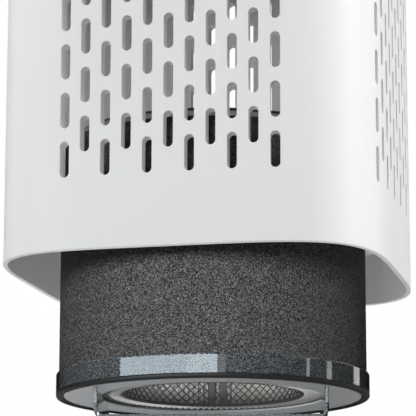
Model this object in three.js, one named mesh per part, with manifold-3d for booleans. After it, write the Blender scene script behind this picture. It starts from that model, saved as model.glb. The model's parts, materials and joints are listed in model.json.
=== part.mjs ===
// A tower air purifier: a white rounded-square casing, open at the bottom, with a round
// carbon cartridge that pulls down out of it, and a fan, motor and controls above.
// Millimetres, +Z up. The object stands on the flat of the cartridge's pull handle at z = 0,
// and the casing's axis is the Z axis.
import * as THREE from "three";
import { mergeVertices } from "three/addons/utils/BufferGeometryUtils.js";
import Module from "manifold-3d";

const wasm = await Module();
wasm.setup();

// ---------- driving dimensions ----------
const clearance = 0.3; // gap between pieces that touch
const slidingGap = 0.6; // gap between pieces that move past each other

const casingHalfWidth = 120; // at the bottom rim
const casingHeight = 380; // rim to the top of the cover
const casingRoundness = 4.2; // superellipse exponent of the casing's section
const cornerFacets = 6; // round each corner of the casing
const roundFacets = 28; // round the turned pieces
const rimWall = 3; // casing wall at the rim and round the fan
const fieldWall = 8.5; // casing wall where the slots are
const fieldChamfer = 6; // height over which the wall thickens
const fieldMargin = 4.5; // thick wall left below the lowest slots

const slotWidth = 5.8;
const slotLength = 22;
const slotColumns = 11; // on each face
const slotRows = 6; // in each odd column, one fewer in the columns between
const slotColumnPitch = 13; // along the surface
const slotRowPitch = 30.5;
const solidBand = 45; // plain band between the rim and the lowest slots

const cartridgeRadius = 97.3;
const carbonHeight = 156.5; // height of the granular bed
const carbonWall = 24.6;
const pleatDepth = 12.6;
const pleatCount = 60;
const pleatFold = 0.9; // thickness of the folded paper, measured along the radius
const coreWall = 1.4; // inner support tube
const endPlate = 2.2; // thickness of the bottom plate and window
const topRingHeight = 3.4;
const gasketHeight = 3;
const beadWidth = 4.8;
const beadHeight = 2.6;
const skirtHeight = 12.4; // clear band round the foot of the carbon
const skirtWall = 1.4;
const cartridgeDrop = 76; // how far the bead hangs below the rim as shown
const cartridgeTurn = 12; // degrees the cartridge is turned from square

const handleOverhang = 0.8; // how far its sides stand outside the bottom window
const handleDepth = 118;
const handleHeight = 19; // below the bead
const handleStrap = 2.4;
const handleCorner = 6;
const handleRecess = 40; // room for a hand under the handle with the cartridge pushed home

const deckThickness = 3;
const inletWall = 3;
const collarLength = 6.5; // how far the deck's collar reaches into the cartridge
const collarWall = 6.35; // what is inside it is the inlet's bore

const fanCasingRadius = 88; // outside
const fanCasingWall = 2.5;
const impellerGap = 7.5; // between the impeller's rim and the fan casing
const impellerHeight = 38;
const bladeCount = 9;
const bladeThickness = 1.8;
const rotorRadius = 30;
const rotorHeight = 24;
const shaftRadius = 3;
const bearingRadius = 8;
const bearingHeight = 6;

const coverHeight = 14;
const coverRound = 8; // rounding of the cover's top edge
const coverPlate = 3;
const vaneCount = 20;
const vaneThickness = 1.8;
const grilleHeight = 4;
const grilleHub = 24; // radius of the closed disc in the middle of the outlet

const buttonRadius = 5.5;
const buttonTravel = 1;
const buttonSpacing = 58; // between the two buttons
const windowWidth = 34;
const windowDepth = 9;

const screwRadius = 1.6;
const screwHead = 3.2;
const screwHeadHeight = 2.2;

// ---------- solids ----------
// A closed geometry as a solid that can be joined and cut.
function solid(geometry) {
  const bare = geometry.clone();
  bare.deleteAttribute("normal");
  bare.deleteAttribute("uv");
  const welded = mergeVertices(bare, 1e-3);
  const triangles = [];
  for (let i = 0; i < welded.index.count; i += 3) {
    const [a, b, c] = welded.index.array.slice(i, i + 3);
    if (a !== b && b !== c && c !== a) triangles.push(a, b, c);
  }
  return new wasm.Manifold(
    new wasm.Mesh({
      numProp: 3,
      vertProperties: new Float32Array(welded.attributes.position.array),
      triVerts: new Uint32Array(triangles),
    }),
  );
}

function geometryOf(made) {
  const mesh = made.getMesh();
  const geometry = new THREE.BufferGeometry();
  geometry.setAttribute("position", new THREE.BufferAttribute(mesh.vertProperties, 3));
  geometry.setIndex(new THREE.BufferAttribute(mesh.triVerts, 1));
  return geometry;
}

function cut(body, tools) {
  return tools.reduce((rest, tool) => rest.subtract(tool), body);
}

function join(pieces) {
  return pieces.reduce((whole, piece) => whole.add(piece));
}

// A piece turned about Z from a closed outline of [radius, height] points.
function turned(outline, facets = roundFacets) {
  const points = outline.map(([radius, height]) => new THREE.Vector2(radius, height));
  const anticlockwise = THREE.ShapeUtils.area(points) > 0;
  if (!anticlockwise) points.reverse();
  points.push(points[0].clone());
  return new THREE.LatheGeometry(points, facets).rotateX(Math.PI / 2);
}

function ringOutline(inner, outer, low, high) {
  return [
    [inner, low],
    [outer, low],
    [outer, high],
    [inner, high],
  ];
}

function ring(inner, outer, low, high, facets) {
  return turned(ringOutline(inner, outer, low, high), facets);
}

function disc(radius, low, high, facets = roundFacets) {
  const geometry = new THREE.CylinderGeometry(radius, radius, high - low, facets);
  return geometry.rotateX(Math.PI / 2).translate(0, 0, (low + high) / 2);
}

function block(width, depth, low, high) {
  return new THREE.BoxGeometry(width, depth, high - low).translate(0, 0, (low + high) / 2);
}

// Radius of the superellipse of unit half width at an angle.
function squareness(angle) {
  const across = Math.abs(Math.cos(angle)) ** casingRoundness;
  const along = Math.abs(Math.sin(angle)) ** casingRoundness;
  return (across + along) ** (-1 / casingRoundness);
}

// The angle from a face's middle to an edge between facets, counted from the middle. The first
// edges lie half way between the slot columns, and the rest share out the corner.
function facetAngle(edge) {
  const edges = (slotColumns + 1) / 2;
  if (edge <= edges - 0.5) return Math.atan2(edge * slotColumnPitch, casingHalfWidth);
  const last = facetAngle(edges - 0.5);
  return last + ((Math.PI / 4 - last) * (edge - edges + 0.5) * 2) / cornerFacets;
}

// A turned piece drawn out from a circle to the casing's rounded square, so that the outline's
// radii are half widths.
function squared(outline) {
  const facetsPerFace = slotColumns + cornerFacets;
  const geometry = turned(outline, 4 * facetsPerFace);
  const place = geometry.attributes.position;
  for (let i = 0; i < place.count; i += 1) {
    const x = place.getX(i);
    const y = place.getY(i);
    const facet = Math.round((Math.atan2(y, x) * 4 * facetsPerFace) / (2 * Math.PI)) + 0.5;
    const face = Math.round(facet / facetsPerFace);
    const edge = facet - face * facetsPerFace;
    const angle = (face * Math.PI) / 2 + Math.sign(edge) * facetAngle(Math.abs(edge));
    const reach = Math.hypot(x, y) * squareness(angle);
    place.setXY(i, reach * Math.cos(angle), reach * Math.sin(angle));
  }
  return geometry;
}

// The point on the casing's front face at a distance along the surface from its middle, with
// the direction that the wall faces there.
function facePoint(distance) {
  const halfWidth = casingHalfWidth;
  const step = 0.25;
  let x = 0;
  let y = -halfWidth;
  let gone = 0;
  while (gone < Math.abs(distance)) {
    const nextX = x + step;
    const nextY = -halfWidth * (1 - (nextX / halfWidth) ** casingRoundness) ** (1 / casingRoundness);
    gone += Math.hypot(nextX - x, nextY - y);
    x = nextX;
    y = nextY;
  }
  const power = casingRoundness - 1;
  const lean = Math.atan2((x / halfWidth) ** power, (-y / halfWidth) ** power);
  const side = Math.sign(distance);
  return { x: x * side, y, lean: lean * side };
}

// ---------- materials ----------
function finish(color, roughness, metalness = 0) {
  return new THREE.MeshStandardMaterial({ color, roughness, metalness });
}

const whitePlastic = () => finish(0xeceded, 0.38);
const greyPlastic = () => finish(0xb4b6b8, 0.3);
const darkPlastic = () => finish(0x2c2d2f, 0.5);
const clearPlastic = () => finish(0xc8d0d2, 0.08);
const blackRubber = () => finish(0x131314, 0.6);
const steel = () => finish(0xb8bbbe, 0.3, 1);
const circuitGreen = () => finish(0x1f5a36, 0.5);

function piece(name, shape, material, parent) {
  const geometry = shape.isBufferGeometry ? shape : geometryOf(shape);
  const mesh = new THREE.Mesh(geometry, material);
  mesh.name = name;
  parent.add(mesh);
  return mesh;
}

// A screw standing on z = 0 with its shank below, and the tools that clear its hole.
function screwShape(length) {
  const head = solid(disc(screwHead, 0, screwHeadHeight, 12));
  return head.add(solid(disc(screwRadius, -length, 0.1, 8)));
}

function screwHole(x, y, low, high) {
  return solid(disc(screwRadius + clearance, low, high, 8).translate(x, y, 0));
}

function screws(name, places, height, length, parent) {
  places.forEach(([x, y], index) => {
    const screw = piece(`${name}_${index + 1}`, screwShape(length), steel(), parent);
    screw.position.set(x, y, height + clearance);
  });
}

function roundPlaces(count, radius, startDegrees) {
  return Array.from({ length: count }, (_, index) => {
    const angle = THREE.MathUtils.degToRad(startDegrees + (360 * index) / count);
    return [radius * Math.cos(angle), radius * Math.sin(angle)];
  });
}

// ---------- levels above the rim ----------
const flatShare = Math.cos(Math.PI / roundFacets); // a turned wall's least radius, as a share
const beadRadius = cartridgeRadius + clearance + skirtWall;
const plateLow = 1;
const carbonLow = Math.max(beadHeight, plateLow + endPlate) + clearance;
const carbonHigh = carbonLow + carbonHeight;
const topRingLow = carbonHigh + clearance;
const gasketLow = topRingLow + topRingHeight + clearance;
const cartridgeHeight = gasketLow + gasketHeight;

const homeHeight = handleHeight + handleRecess; // bead above the rim when pushed home
const seatHeight = homeHeight + cartridgeHeight + clearance;
const slotTop = solidBand + (slotRows - 1) * slotRowPitch + slotLength;
const ledgeHeight = Math.max(slotTop, seatHeight) + 4;
const deckLow = ledgeHeight + clearance;
const deckHigh = deckLow + deckThickness;
const coverLow = casingHeight - coverHeight;

const carbonInner = cartridgeRadius - carbonWall;
const bedTubeInner = carbonInner - clearance - coreWall;
const pleatOuter = bedTubeInner * flatShare - clearance;
const pleatInner = pleatOuter - pleatDepth;
const coreOuter = pleatInner - clearance;
const coreInner = coreOuter - coreWall;
const collarOuter = coreInner - slidingGap - 2;
const inletRadius = collarOuter - collarWall;
const plateInner = carbonInner - 2; // hole in the bottom plate, which the window fills

const impellerRadius = fanCasingRadius - fanCasingWall - impellerGap;
const impellerLow = deckHigh + 6;
const hubHigh = impellerLow + impellerHeight;
const rotorLow = hubHigh + clearance;
const rotorHigh = rotorLow + rotorHeight;
const bracketLow = rotorHigh + 4;
const bracketHigh = bracketLow + 5;
const boardHeight = coverLow - 4;
const boardThickness = 1.6;
const panelY = -(fanCasingRadius + 13); // middle line of the buttons and window
const wallInside = casingHalfWidth - rimWall;

const whole = new THREE.Group();
const housing = new THREE.Group();
housing.position.z = handleHeight + cartridgeDrop;
const cartridge = new THREE.Group();
cartridge.position.z = handleHeight;
cartridge.rotation.z = THREE.MathUtils.degToRad(cartridgeTurn);
whole.add(housing, cartridge);

// ---------- casing ----------
// A slot with pointed ends, standing in the wall and cut through it.
function slotTool() {
  const half = slotWidth / 2;
  const outline = new THREE.Shape([
    new THREE.Vector2(0, 0),
    new THREE.Vector2(half, half),
    new THREE.Vector2(half, slotLength - half),
    new THREE.Vector2(0, slotLength),
    new THREE.Vector2(-half, slotLength - half),
    new THREE.Vector2(-half, half),
  ]);
  const depth = 4 * fieldWall;
  const geometry = new THREE.ExtrudeGeometry(outline, { depth, bevelEnabled: false });
  return geometry.rotateX(Math.PI / 2).translate(0, depth / 2, 0);
}

function slotTools() {
  const shape = slotTool();
  const tools = [];
  for (let column = 0; column < slotColumns; column += 1) {
    const between = column % 2 === 1;
    const rows = between ? slotRows - 1 : slotRows;
    const distance = (column - (slotColumns - 1) / 2) * slotColumnPitch;
    const { x, y, lean } = facePoint(distance);
    for (let row = 0; row < rows; row += 1) {
      const height = solidBand + (row + (between ? 0.5 : 0)) * slotRowPitch;
      const tool = shape.clone().rotateZ(lean).translate(x, y, height);
      for (let face = 0; face < 4; face += 1) {
        tools.push(solid(tool.clone().rotateZ((face * Math.PI) / 2)));
      }
    }
  }
  return tools;
}

const deckScrewPlaces = roundPlaces(4, (wallInside - fieldWall / 2) * squareness(Math.PI / 4) + 1, 45);
const inletSocketWidth = 30;
const inletSocketHeight = 22;
const inletSocketLow = deckHigh + 78;
const sensorWidth = 38;
const sensorHeight = 22;
const sensorLow = deckHigh + 60;

function outerShell() {
  const field = casingHalfWidth - fieldWall;
  const fieldLow = solidBand - fieldChamfer - fieldMargin;
  const wall = squared([
    [casingHalfWidth, 0],
    [casingHalfWidth, coverLow],
    [wallInside, coverLow],
    [wallInside, ledgeHeight],
    [field, ledgeHeight],
    [field, fieldLow + fieldChamfer],
    [wallInside, fieldLow],
    [wallInside, 0],
  ]);
  const socketHole = block(inletSocketWidth, 4 * rimWall, inletSocketLow, inletSocketLow + inletSocketHeight);
  const sensorHole = block(4 * rimWall, sensorWidth, sensorLow, sensorLow + sensorHeight);
  const screwBores = deckScrewPlaces.map(([x, y]) => screwHole(x, y, ledgeHeight - 12, ledgeHeight + 1));
  return cut(solid(wall), [
    ...slotTools(),
    ...screwBores,
    solid(socketHole.translate(0, casingHalfWidth, 0)),
    solid(sensorHole.translate(-casingHalfWidth, 0, 0)),
  ]);
}

piece("outer_shell", outerShell(), whitePlastic(), housing);

// ---------- fan deck, which parts the filter space from the fan ----------
const casingFlange = fanCasingRadius + 7;
const casingScrewPlaces = roundPlaces(4, fanCasingRadius + 3.6, 0);
const seatRadius = cartridgeRadius + 1;

function fanDeck() {
  const flange = squared([
    [inletRadius * 0.8, deckLow],
    [wallInside - slidingGap, deckLow],
    [wallInside - slidingGap, deckHigh],
    [inletRadius * 0.8, deckHigh],
  ]);
  const seat = turned([
    [inletRadius, seatHeight - collarLength],
    [collarOuter, seatHeight - collarLength],
    [collarOuter, seatHeight],
    [seatRadius, seatHeight],
    [seatRadius, deckHigh - 0.5],
    [inletRadius, deckHigh - 0.5],
  ]);
  const bell = ring(inletRadius, inletRadius + inletWall, deckLow, impellerLow + 2);
  const bore = disc(inletRadius, seatHeight - 10, deckHigh + 20);
  const holes = [...deckScrewPlaces, ...casingScrewPlaces].map(([x, y]) =>
    screwHole(x, y, deckLow - 7, deckHigh + 1),
  );
  return cut(join([solid(flange), solid(seat), solid(bell)]), [solid(bore), ...holes]);
}

piece("fan_deck", fanDeck(), darkPlastic(), housing);
screws("deck_screw", deckScrewPlaces, deckHigh, deckThickness + 8, housing);

const sealLow = seatHeight - collarLength + 1.5;
const seal = ring(collarOuter + clearance, coreInner - clearance, sealLow, sealLow + 2.4);
piece("collar_seal", seal, blackRubber(), housing);

function inletGuard() {
  const low = deckLow + 1;
  const high = low + 1.6;
  const rim = ring(inletRadius - 5, inletRadius - clearance, low, high);
  const middle = disc(9, low, high, 16);
  const spokes = [0, 1, 2].map((index) => {
    const spoke = block(2 * inletRadius - 6, 2.4, low, high);
    return solid(spoke.rotateZ((index * Math.PI) / 3));
  });
  return join([solid(rim), solid(middle), ...spokes]);
}

piece("inlet_guard", inletGuard(), darkPlastic(), housing);

// ---------- fan casing and outlet ----------
const fanCasingInner = fanCasingRadius - fanCasingWall;
const bracketRing = fanCasingInner - 8;
const bracketScrewPlaces = roundPlaces(4, fanCasingInner - 4.2, 45);
const fanCasingHigh = coverLow - 0.5;

function fanCasing() {
  const wall = turned([
    [fanCasingInner, deckHigh + clearance],
    [casingFlange, deckHigh + clearance],
    [casingFlange, deckHigh + clearance + 3],
    [fanCasingRadius, deckHigh + clearance + 3],
    [fanCasingRadius, fanCasingHigh],
    [fanCasingInner, fanCasingHigh],
    [fanCasingInner, bracketLow - clearance],
    [bracketRing, bracketLow - clearance],
    [fanCasingInner, bracketLow - 12],
  ]);
  const flangeHoles = casingScrewPlaces.map(([x, y]) => screwHole(x, y, deckHigh, deckHigh + 5));
  const ledgeHoles = bracketScrewPlaces.map(([x, y]) => screwHole(x, y, bracketLow - 20, bracketLow));
  return cut(solid(wall), [...flangeHoles, ...ledgeHoles]);
}

piece("fan_casing", fanCasing(), darkPlastic(), housing);
screws("casing_screw", casingScrewPlaces, deckHigh + clearance + 3, 5.5, housing);

// ---------- motor, above the impeller ----------
const bearingTube = bearingRadius + clearance + 2;
const tubeLow = rotorLow + 4;
const lowerBearingLow = tubeLow + clearance;
const upperBearingLow = bracketHigh - bearingHeight - clearance;

function motorBracket() {
  const tube = ring(bearingRadius + clearance, bearingTube, tubeLow, bracketHigh, 24);
  const hub = ring(bearingTube - 1, rotorRadius + 4, bracketLow, bracketHigh, 24);
  const rim = ring(bracketRing, fanCasingInner - clearance, bracketLow, bracketHigh);
  const reach = bracketRing - rotorRadius;
  const arms = [0, 1, 2, 3].map((index) => {
    const arm = block(reach + 2, 8, bracketLow, bracketHigh - 1);
    arm.translate(rotorRadius + 2 + reach / 2, 0, 0);
    return solid(arm.rotateZ((index * Math.PI) / 2));
  });
  const holes = bracketScrewPlaces.map(([x, y]) => screwHole(x, y, bracketLow - 1, bracketHigh + 1));
  return cut(join([solid(tube), solid(hub), solid(rim), ...arms]), holes);
}

piece("motor_bracket", motorBracket(), darkPlastic(), housing);
screws("bracket_screw", bracketScrewPlaces, bracketHigh, 8, housing);

function statorShape() {
  const toothCount = 6;
  const outer = rotorRadius - 3.4;
  const inner = bearingTube + clearance;
  const low = rotorLow + 5;
  const high = rotorHigh - 2;
  const yoke = ring(inner, inner + 4, low, high, 24);
  const teeth = Array.from({ length: toothCount }, (_, index) => {
    const tooth = block(outer - inner - 2, 9, low, high);
    tooth.translate((outer + inner) / 2 + 0.5, 0, 0);
    return solid(tooth.rotateZ((2 * Math.PI * index) / toothCount));
  });
  return join([solid(yoke), ...teeth]);
}

piece("motor_stator", statorShape(), finish(0x9a5a32, 0.45, 0.6), housing);
const bearing = (low) =>
  ring(shaftRadius + clearance, bearingRadius, low, low + bearingHeight, 24);
piece("lower_bearing", bearing(lowerBearingLow), steel(), housing);
piece("upper_bearing", bearing(upperBearingLow), steel(), housing);

// ---------- rotating group ----------
function bladeShape() {
  const inner = inletRadius + 5;
  const outer = impellerRadius - 1.5;
  const sweep = THREE.MathUtils.degToRad(48);
  const steps = 3;
  const half = bladeThickness / 2;
  const side = (offset) =>
    Array.from({ length: steps + 1 }, (_, index) => {
      const share = index / steps;
      const radius = inner + (outer - inner) * share + offset * 0.5;
      const angle = -sweep * share + offset / radius;
      return new THREE.Vector2(radius * Math.cos(angle), radius * Math.sin(angle));
    });
  const outline = new THREE.Shape([...side(-half), ...side(half).reverse()]);
  const depth = impellerHeight - 3;
  const geometry = new THREE.ExtrudeGeometry(outline, { depth, bevelEnabled: false });
  return geometry.translate(0, 0, impellerLow + 1.5);
}

function impeller() {
  const shroud = ring(inletRadius + inletWall + 1.6, impellerRadius, impellerLow, impellerLow + 2.4);
  const hubPlate = ring(shaftRadius + clearance, impellerRadius, hubHigh - 2.6, hubHigh);
  const boss = turned([
    [shaftRadius + clearance, hubHigh - 16],
    [10, hubHigh - 16],
    [18, hubHigh - 2],
    [shaftRadius + clearance, hubHigh - 2],
  ], 24);
  const blade = bladeShape();
  const blades = Array.from({ length: bladeCount }, (_, index) =>
    solid(blade.clone().rotateZ((2 * Math.PI * index) / bladeCount)),
  );
  return join([solid(shroud), solid(hubPlate), solid(boss), ...blades]);
}

piece("impeller", impeller(), finish(0x3a3c3f, 0.4), housing);

const rotorCan = turned([
  [shaftRadius + clearance, rotorLow],
  [rotorRadius, rotorLow],
  [rotorRadius, rotorHigh],
  [rotorRadius - 2, rotorHigh],
  [rotorRadius - 2, rotorLow + 2.4],
  [shaftRadius + clearance, rotorLow + 2.4],
], 24);
piece("motor_rotor", rotorCan, steel(), housing);
piece("motor_shaft", disc(shaftRadius, hubHigh - 20, bracketHigh + 2, 16), steel(), housing);
const nut = disc(5.5, hubHigh - 20, hubHigh - 16.3, 6);
const nutBore = disc(shaftRadius + clearance, hubHigh - 22, hubHigh - 14, 16);
piece("shaft_nut", cut(solid(nut), [solid(nutBore)]), steel(), housing);

// ---------- top cover, outlet grille and controls ----------
const outletRadius = fanCasingInner;
const plateLowZ = casingHeight - coverPlate;
const skirtHalf = wallInside - slidingGap;
const panelX = buttonSpacing / 2;
const postX = panelX + 10;
const boardBoltY = panelY - 3;

function topCover() {
  const lip = 1.2; // the cover stands this far inside the casing's side
  const edge = casingHalfWidth - lip;
  const bevel = coverRound * (1 - Math.SQRT1_2); // how far the rounding falls inside its corner
  const lid = squared([
    [outletRadius * 0.7, plateLowZ],
    [skirtHalf - 2, plateLowZ],
    [skirtHalf - 2, coverLow - 7],
    [skirtHalf, coverLow - 7],
    [skirtHalf, coverLow + clearance],
    [edge, coverLow + clearance],
    [edge, casingHeight - coverRound],
    [edge - bevel, casingHeight - bevel],
    [edge - coverRound, casingHeight],
    [outletRadius * 0.7, casingHeight],
  ]);
  const collar = ring(outletRadius - 1, fanCasingRadius, coverLow, casingHeight - 1);
  const posts = [-postX, postX].map((x) =>
    solid(disc(3.4, boardHeight + boardThickness + clearance, casingHeight - 1, 12).translate(x, boardBoltY, 0)),
  );
  const opening = disc(outletRadius, coverLow - 20, casingHeight + 5);
  const shelf = ring(outletRadius - 3, outletRadius + 1, casingHeight - 9, casingHeight - 7);
  const buttonHoles = [-panelX, panelX].map((x) =>
    solid(disc(buttonRadius + clearance, plateLowZ - 3, casingHeight + 2, 20).translate(x, panelY, 0)),
  );
  const windowHole = block(windowWidth, windowDepth, plateLowZ - 3, casingHeight + 2).translate(0, panelY, 0);
  const pilotHoles = [-postX, postX].map((x) => screwHole(x, boardBoltY, boardHeight, casingHeight - coverPlate));
  const body = cut(join([solid(lid), solid(collar), ...posts]), [solid(opening)]);
  return cut(body.add(solid(shelf)), [...buttonHoles, ...pilotHoles, solid(windowHole)]);
}

piece("top_cover", topCover(), whitePlastic(), housing);

function outletGrille() {
  const high = casingHeight - 1.2;
  const low = high - grilleHeight;
  const outer = outletRadius - clearance;
  const rim = ring(outer - 3, outer, casingHeight - 7 + clearance, high);
  const middle = disc(grilleHub, low, high, 32);
  const sweep = 0.5; // radians from hub to rim
  const steps = 3;
  const vaneSide = (offset) =>
    Array.from({ length: steps + 1 }, (_, index) => {
      const share = index / steps;
      const radius = grilleHub - 1 + (outer - 1 - grilleHub) * share;
      const angle = sweep * share * share + offset / radius;
      return new THREE.Vector2(radius * Math.cos(angle), radius * Math.sin(angle));
    });
  const half = vaneThickness / 2;
  const outline = new THREE.Shape([...vaneSide(-half), ...vaneSide(half).reverse()]);
  const depth = grilleHeight - 0.4;
  const vane = new THREE.ExtrudeGeometry(outline, { depth, bevelEnabled: false });
  vane.translate(0, 0, low + 0.2);
  const vanes = Array.from({ length: vaneCount }, (_, index) =>
    solid(vane.clone().rotateZ((2 * Math.PI * index) / vaneCount)),
  );
  return join([solid(rim), solid(middle), ...vanes]);
}

piece("outlet_grille", outletGrille(), greyPlastic(), housing);

const windowPlate = block(
  windowWidth - 2 * clearance,
  windowDepth - 2 * clearance,
  plateLowZ - 1,
  casingHeight - 0.4,
).translate(0, panelY, 0);
piece("display_window", windowPlate, finish(0x16181b, 0.12), housing);

const switchHeight = 4;
const boardTop = boardHeight + boardThickness;
const switchTop = boardTop + clearance + switchHeight;

function button(name, x) {
  const cap = disc(buttonRadius, plateLowZ - 2.4, casingHeight + 0.9 - buttonTravel * 0.5, 20);
  const flange = disc(buttonRadius + 1.4, plateLowZ - 3.4, plateLowZ - clearance, 20);
  const stem = disc(1.6, switchTop + buttonTravel + clearance, plateLowZ - 3, 10);
  const made = join([solid(cap), solid(flange), solid(stem)]);
  piece(name, made, greyPlastic(), housing).position.set(x, panelY, 0);
}

button("power_button", -panelX);
button("speed_button", panelX);

const boardHoles = [-postX, postX].map((x) => screwHole(x, boardBoltY, boardHeight - 1, boardTop + 1));
const board = block(2 * postX + 12, 18, boardHeight, boardTop).translate(0, panelY, 0);
piece("control_board", cut(solid(board), boardHoles), circuitGreen(), housing);
[["power_switch", -panelX], ["speed_switch", panelX]].forEach(([name, x]) => {
  const body = block(6, 6, boardTop + clearance, switchTop);
  piece(name, body, darkPlastic(), housing).position.set(x, panelY, 0);
});
[-postX, postX].forEach((x, index) => {
  const screw = piece(`board_screw_${index + 1}`, screwShape(7), steel(), housing);
  screw.rotation.x = Math.PI;
  screw.position.set(x, boardBoltY, boardHeight - clearance);
});

// ---------- power supply and sensor ----------
const trayY = casingFlange + 3;
const trayLow = deckHigh + clearance;
const trayWidth = 84;
const trayHeight = 66;

function powerTray() {
  const foot = block(trayWidth, 14, trayLow, trayLow + 2).translate(0, trayY + 7, 0);
  const back = block(trayWidth, 2, trayLow, trayLow + trayHeight).translate(0, trayY + 1, 0);
  const pegs = [-34, 34].map((x) => {
    const peg = block(6, 5, trayLow + 50, trayLow + 56);
    return solid(peg.translate(x, trayY + 3.5, 0));
  });
  return join([solid(foot), solid(back), ...pegs]);
}

piece("power_tray", powerTray(), darkPlastic(), housing);
const powerBoardY = trayY + 6 + clearance;
const powerBoard = block(trayWidth - 4, boardThickness, trayLow + 4, trayLow + 60);
piece("power_board", powerBoard.translate(0, powerBoardY + boardThickness / 2, 0), circuitGreen(), housing);
const componentY = powerBoardY + boardThickness + clearance;
const transformer = block(24, 8, trayLow + 12, trayLow + 34).translate(-16, componentY + 4, 0);
piece("transformer", transformer, finish(0xc9a227, 0.5), housing);
const capacitor = disc(4, trayLow + 12, trayLow + 36, 16).translate(18, componentY + 4, 0);
piece("capacitor", capacitor, finish(0x23252a, 0.35), housing);

function powerInlet() {
  const gap = slidingGap / 2;
  const low = inletSocketLow + gap;
  const high = inletSocketLow + inletSocketHeight - gap;
  const face = casingHalfWidth - 1.2;
  const nose = block(inletSocketWidth - 2 * gap, 16, low, high).translate(0, face - 8, 0);
  const back = wallInside - 1.5;
  const flange = block(inletSocketWidth + 8, 2, low - 4, high + 4).translate(0, back - 1, 0);
  const pinSpace = block(15, 24, low + 6, high - 6).translate(0, face, 0);
  return cut(join([solid(nose), solid(flange)]), [solid(pinSpace)]);
}

piece("power_inlet", powerInlet(), darkPlastic(), housing);

function sensorCover() {
  const gap = slidingGap / 2;
  const outside = casingHalfWidth - 1;
  const plate = block(2, sensorWidth - 2 * gap, sensorLow + gap, sensorLow + sensorHeight - gap);
  const ribs = [-2, -1, 0, 1, 2].map((index) => {
    const opening = block(6, 3, sensorLow + 4, sensorLow + sensorHeight - 4);
    return solid(opening.translate(1 - outside, index * 6, 0));
  });
  return cut(solid(plate.translate(1 - outside, 0, 0)), ribs);
}

piece("sensor_cover", sensorCover(), greyPlastic(), housing);
const sensorBody = block(16, sensorWidth + 6, sensorLow - 3, sensorLow + sensorHeight + 3);
piece("dust_sensor", sensorBody.translate(9.5 - wallInside + 1, 0, 0), darkPlastic(), housing);

// ---------- cartridge, from the bead up ----------
piece("bead_ring", turned([
  [beadRadius - beadWidth, beadHeight],
  [beadRadius - beadWidth, 0.9],
  [beadRadius - beadWidth + 1, 0],
  [beadRadius - 1.2, 0],
  [beadRadius, 1],
  [beadRadius, beadHeight],
]), blackRubber(), cartridge);

const plateOuter = beadRadius - beadWidth - clearance;
const plateHigh = plateLow + endPlate;
piece("bottom_plate", ring(plateInner, plateOuter, plateLow, plateHigh), greyPlastic(), cartridge);
piece("bottom_window", disc(plateInner - clearance, plateLow, plateHigh), clearPlastic(), cartridge);

const skirtLow = beadHeight + clearance;
piece("clear_skirt", turned([
  [cartridgeRadius + clearance, skirtLow],
  [beadRadius, skirtLow],
  [beadRadius, skirtLow + skirtHeight - 1],
  [beadRadius - 1, skirtLow + skirtHeight],
  [cartridgeRadius + clearance, skirtLow + skirtHeight],
]), clearPlastic(), cartridge);

const carbon = ring(carbonInner, cartridgeRadius, carbonLow, carbonHigh);
piece("carbon_bed", carbon, finish(0x1d1e20, 0.9), cartridge);
const bedTube = ring(bedTubeInner, carbonInner - clearance, carbonLow, carbonHigh);
piece("bed_tube", bedTube, darkPlastic(), cartridge);

function pleatedMedia() {
  const fold = (outerRadius, innerRadius) =>
    Array.from({ length: 2 * pleatCount }, (_, index) => {
      const radius = index % 2 === 0 ? outerRadius : innerRadius;
      const angle = (Math.PI * index) / pleatCount;
      return new THREE.Vector2(radius * Math.cos(angle), radius * Math.sin(angle));
    });
  const outline = new THREE.Shape(fold(pleatOuter, pleatInner + pleatFold));
  outline.holes.push(new THREE.Path(fold(pleatOuter - pleatFold, pleatInner)));
  const geometry = new THREE.ExtrudeGeometry(outline, { depth: carbonHeight, bevelEnabled: false });
  return geometry.translate(0, 0, carbonLow);
}

piece("pleated_media", pleatedMedia(), finish(0xe9e8e2, 0.9), cartridge);
piece("core_tube", ring(coreInner, coreOuter, carbonLow, carbonHigh), darkPlastic(), cartridge);
const topRing = ring(coreInner, cartridgeRadius, topRingLow, topRingLow + topRingHeight);
piece("top_ring", topRing, greyPlastic(), cartridge);
const gasket = ring(carbonInner, cartridgeRadius - 6, gasketLow, gasketLow + gasketHeight);
piece("top_gasket", gasket, blackRubber(), cartridge);

// A wide strap bent up at both ends, with its flat at the bottom.
function pullHandle() {
  const half = plateInner + handleOverhang;
  const top = plateLow - clearance;
  const bend = (radius, side) =>
    [0, 30, 60, 90].map((degrees) => {
      const angle = THREE.MathUtils.degToRad(degrees);
      const x = half - handleCorner + radius * Math.cos(angle);
      const z = handleCorner - handleHeight - radius * Math.sin(angle);
      return new THREE.Vector2(side * x, z);
    });
  const inner = handleCorner - handleStrap;
  const outline = new THREE.Shape([
    new THREE.Vector2(half, top),
    ...bend(handleCorner, 1),
    ...bend(handleCorner, -1).reverse(),
    new THREE.Vector2(-half, top),
    new THREE.Vector2(handleStrap - half, top),
    ...bend(inner, -1),
    ...bend(inner, 1).reverse(),
    new THREE.Vector2(half - handleStrap, top),
  ]);
  const geometry = new THREE.ExtrudeGeometry(outline, { depth: handleDepth, bevelEnabled: false });
  const strap = solid(geometry.rotateX(Math.PI / 2).translate(0, handleDepth / 2, 0));
  const bore = (beadRadius - beadWidth) * flatShare - clearance; // the strap stands inside the bead
  return strap.intersect(solid(disc(bore, -handleHeight - 1, top + 1)));
}

piece("pull_handle", pullHandle(), clearPlastic(), cartridge);

export default whole;
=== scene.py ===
import bpy, bmesh, json, math
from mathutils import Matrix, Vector, noise


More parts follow.
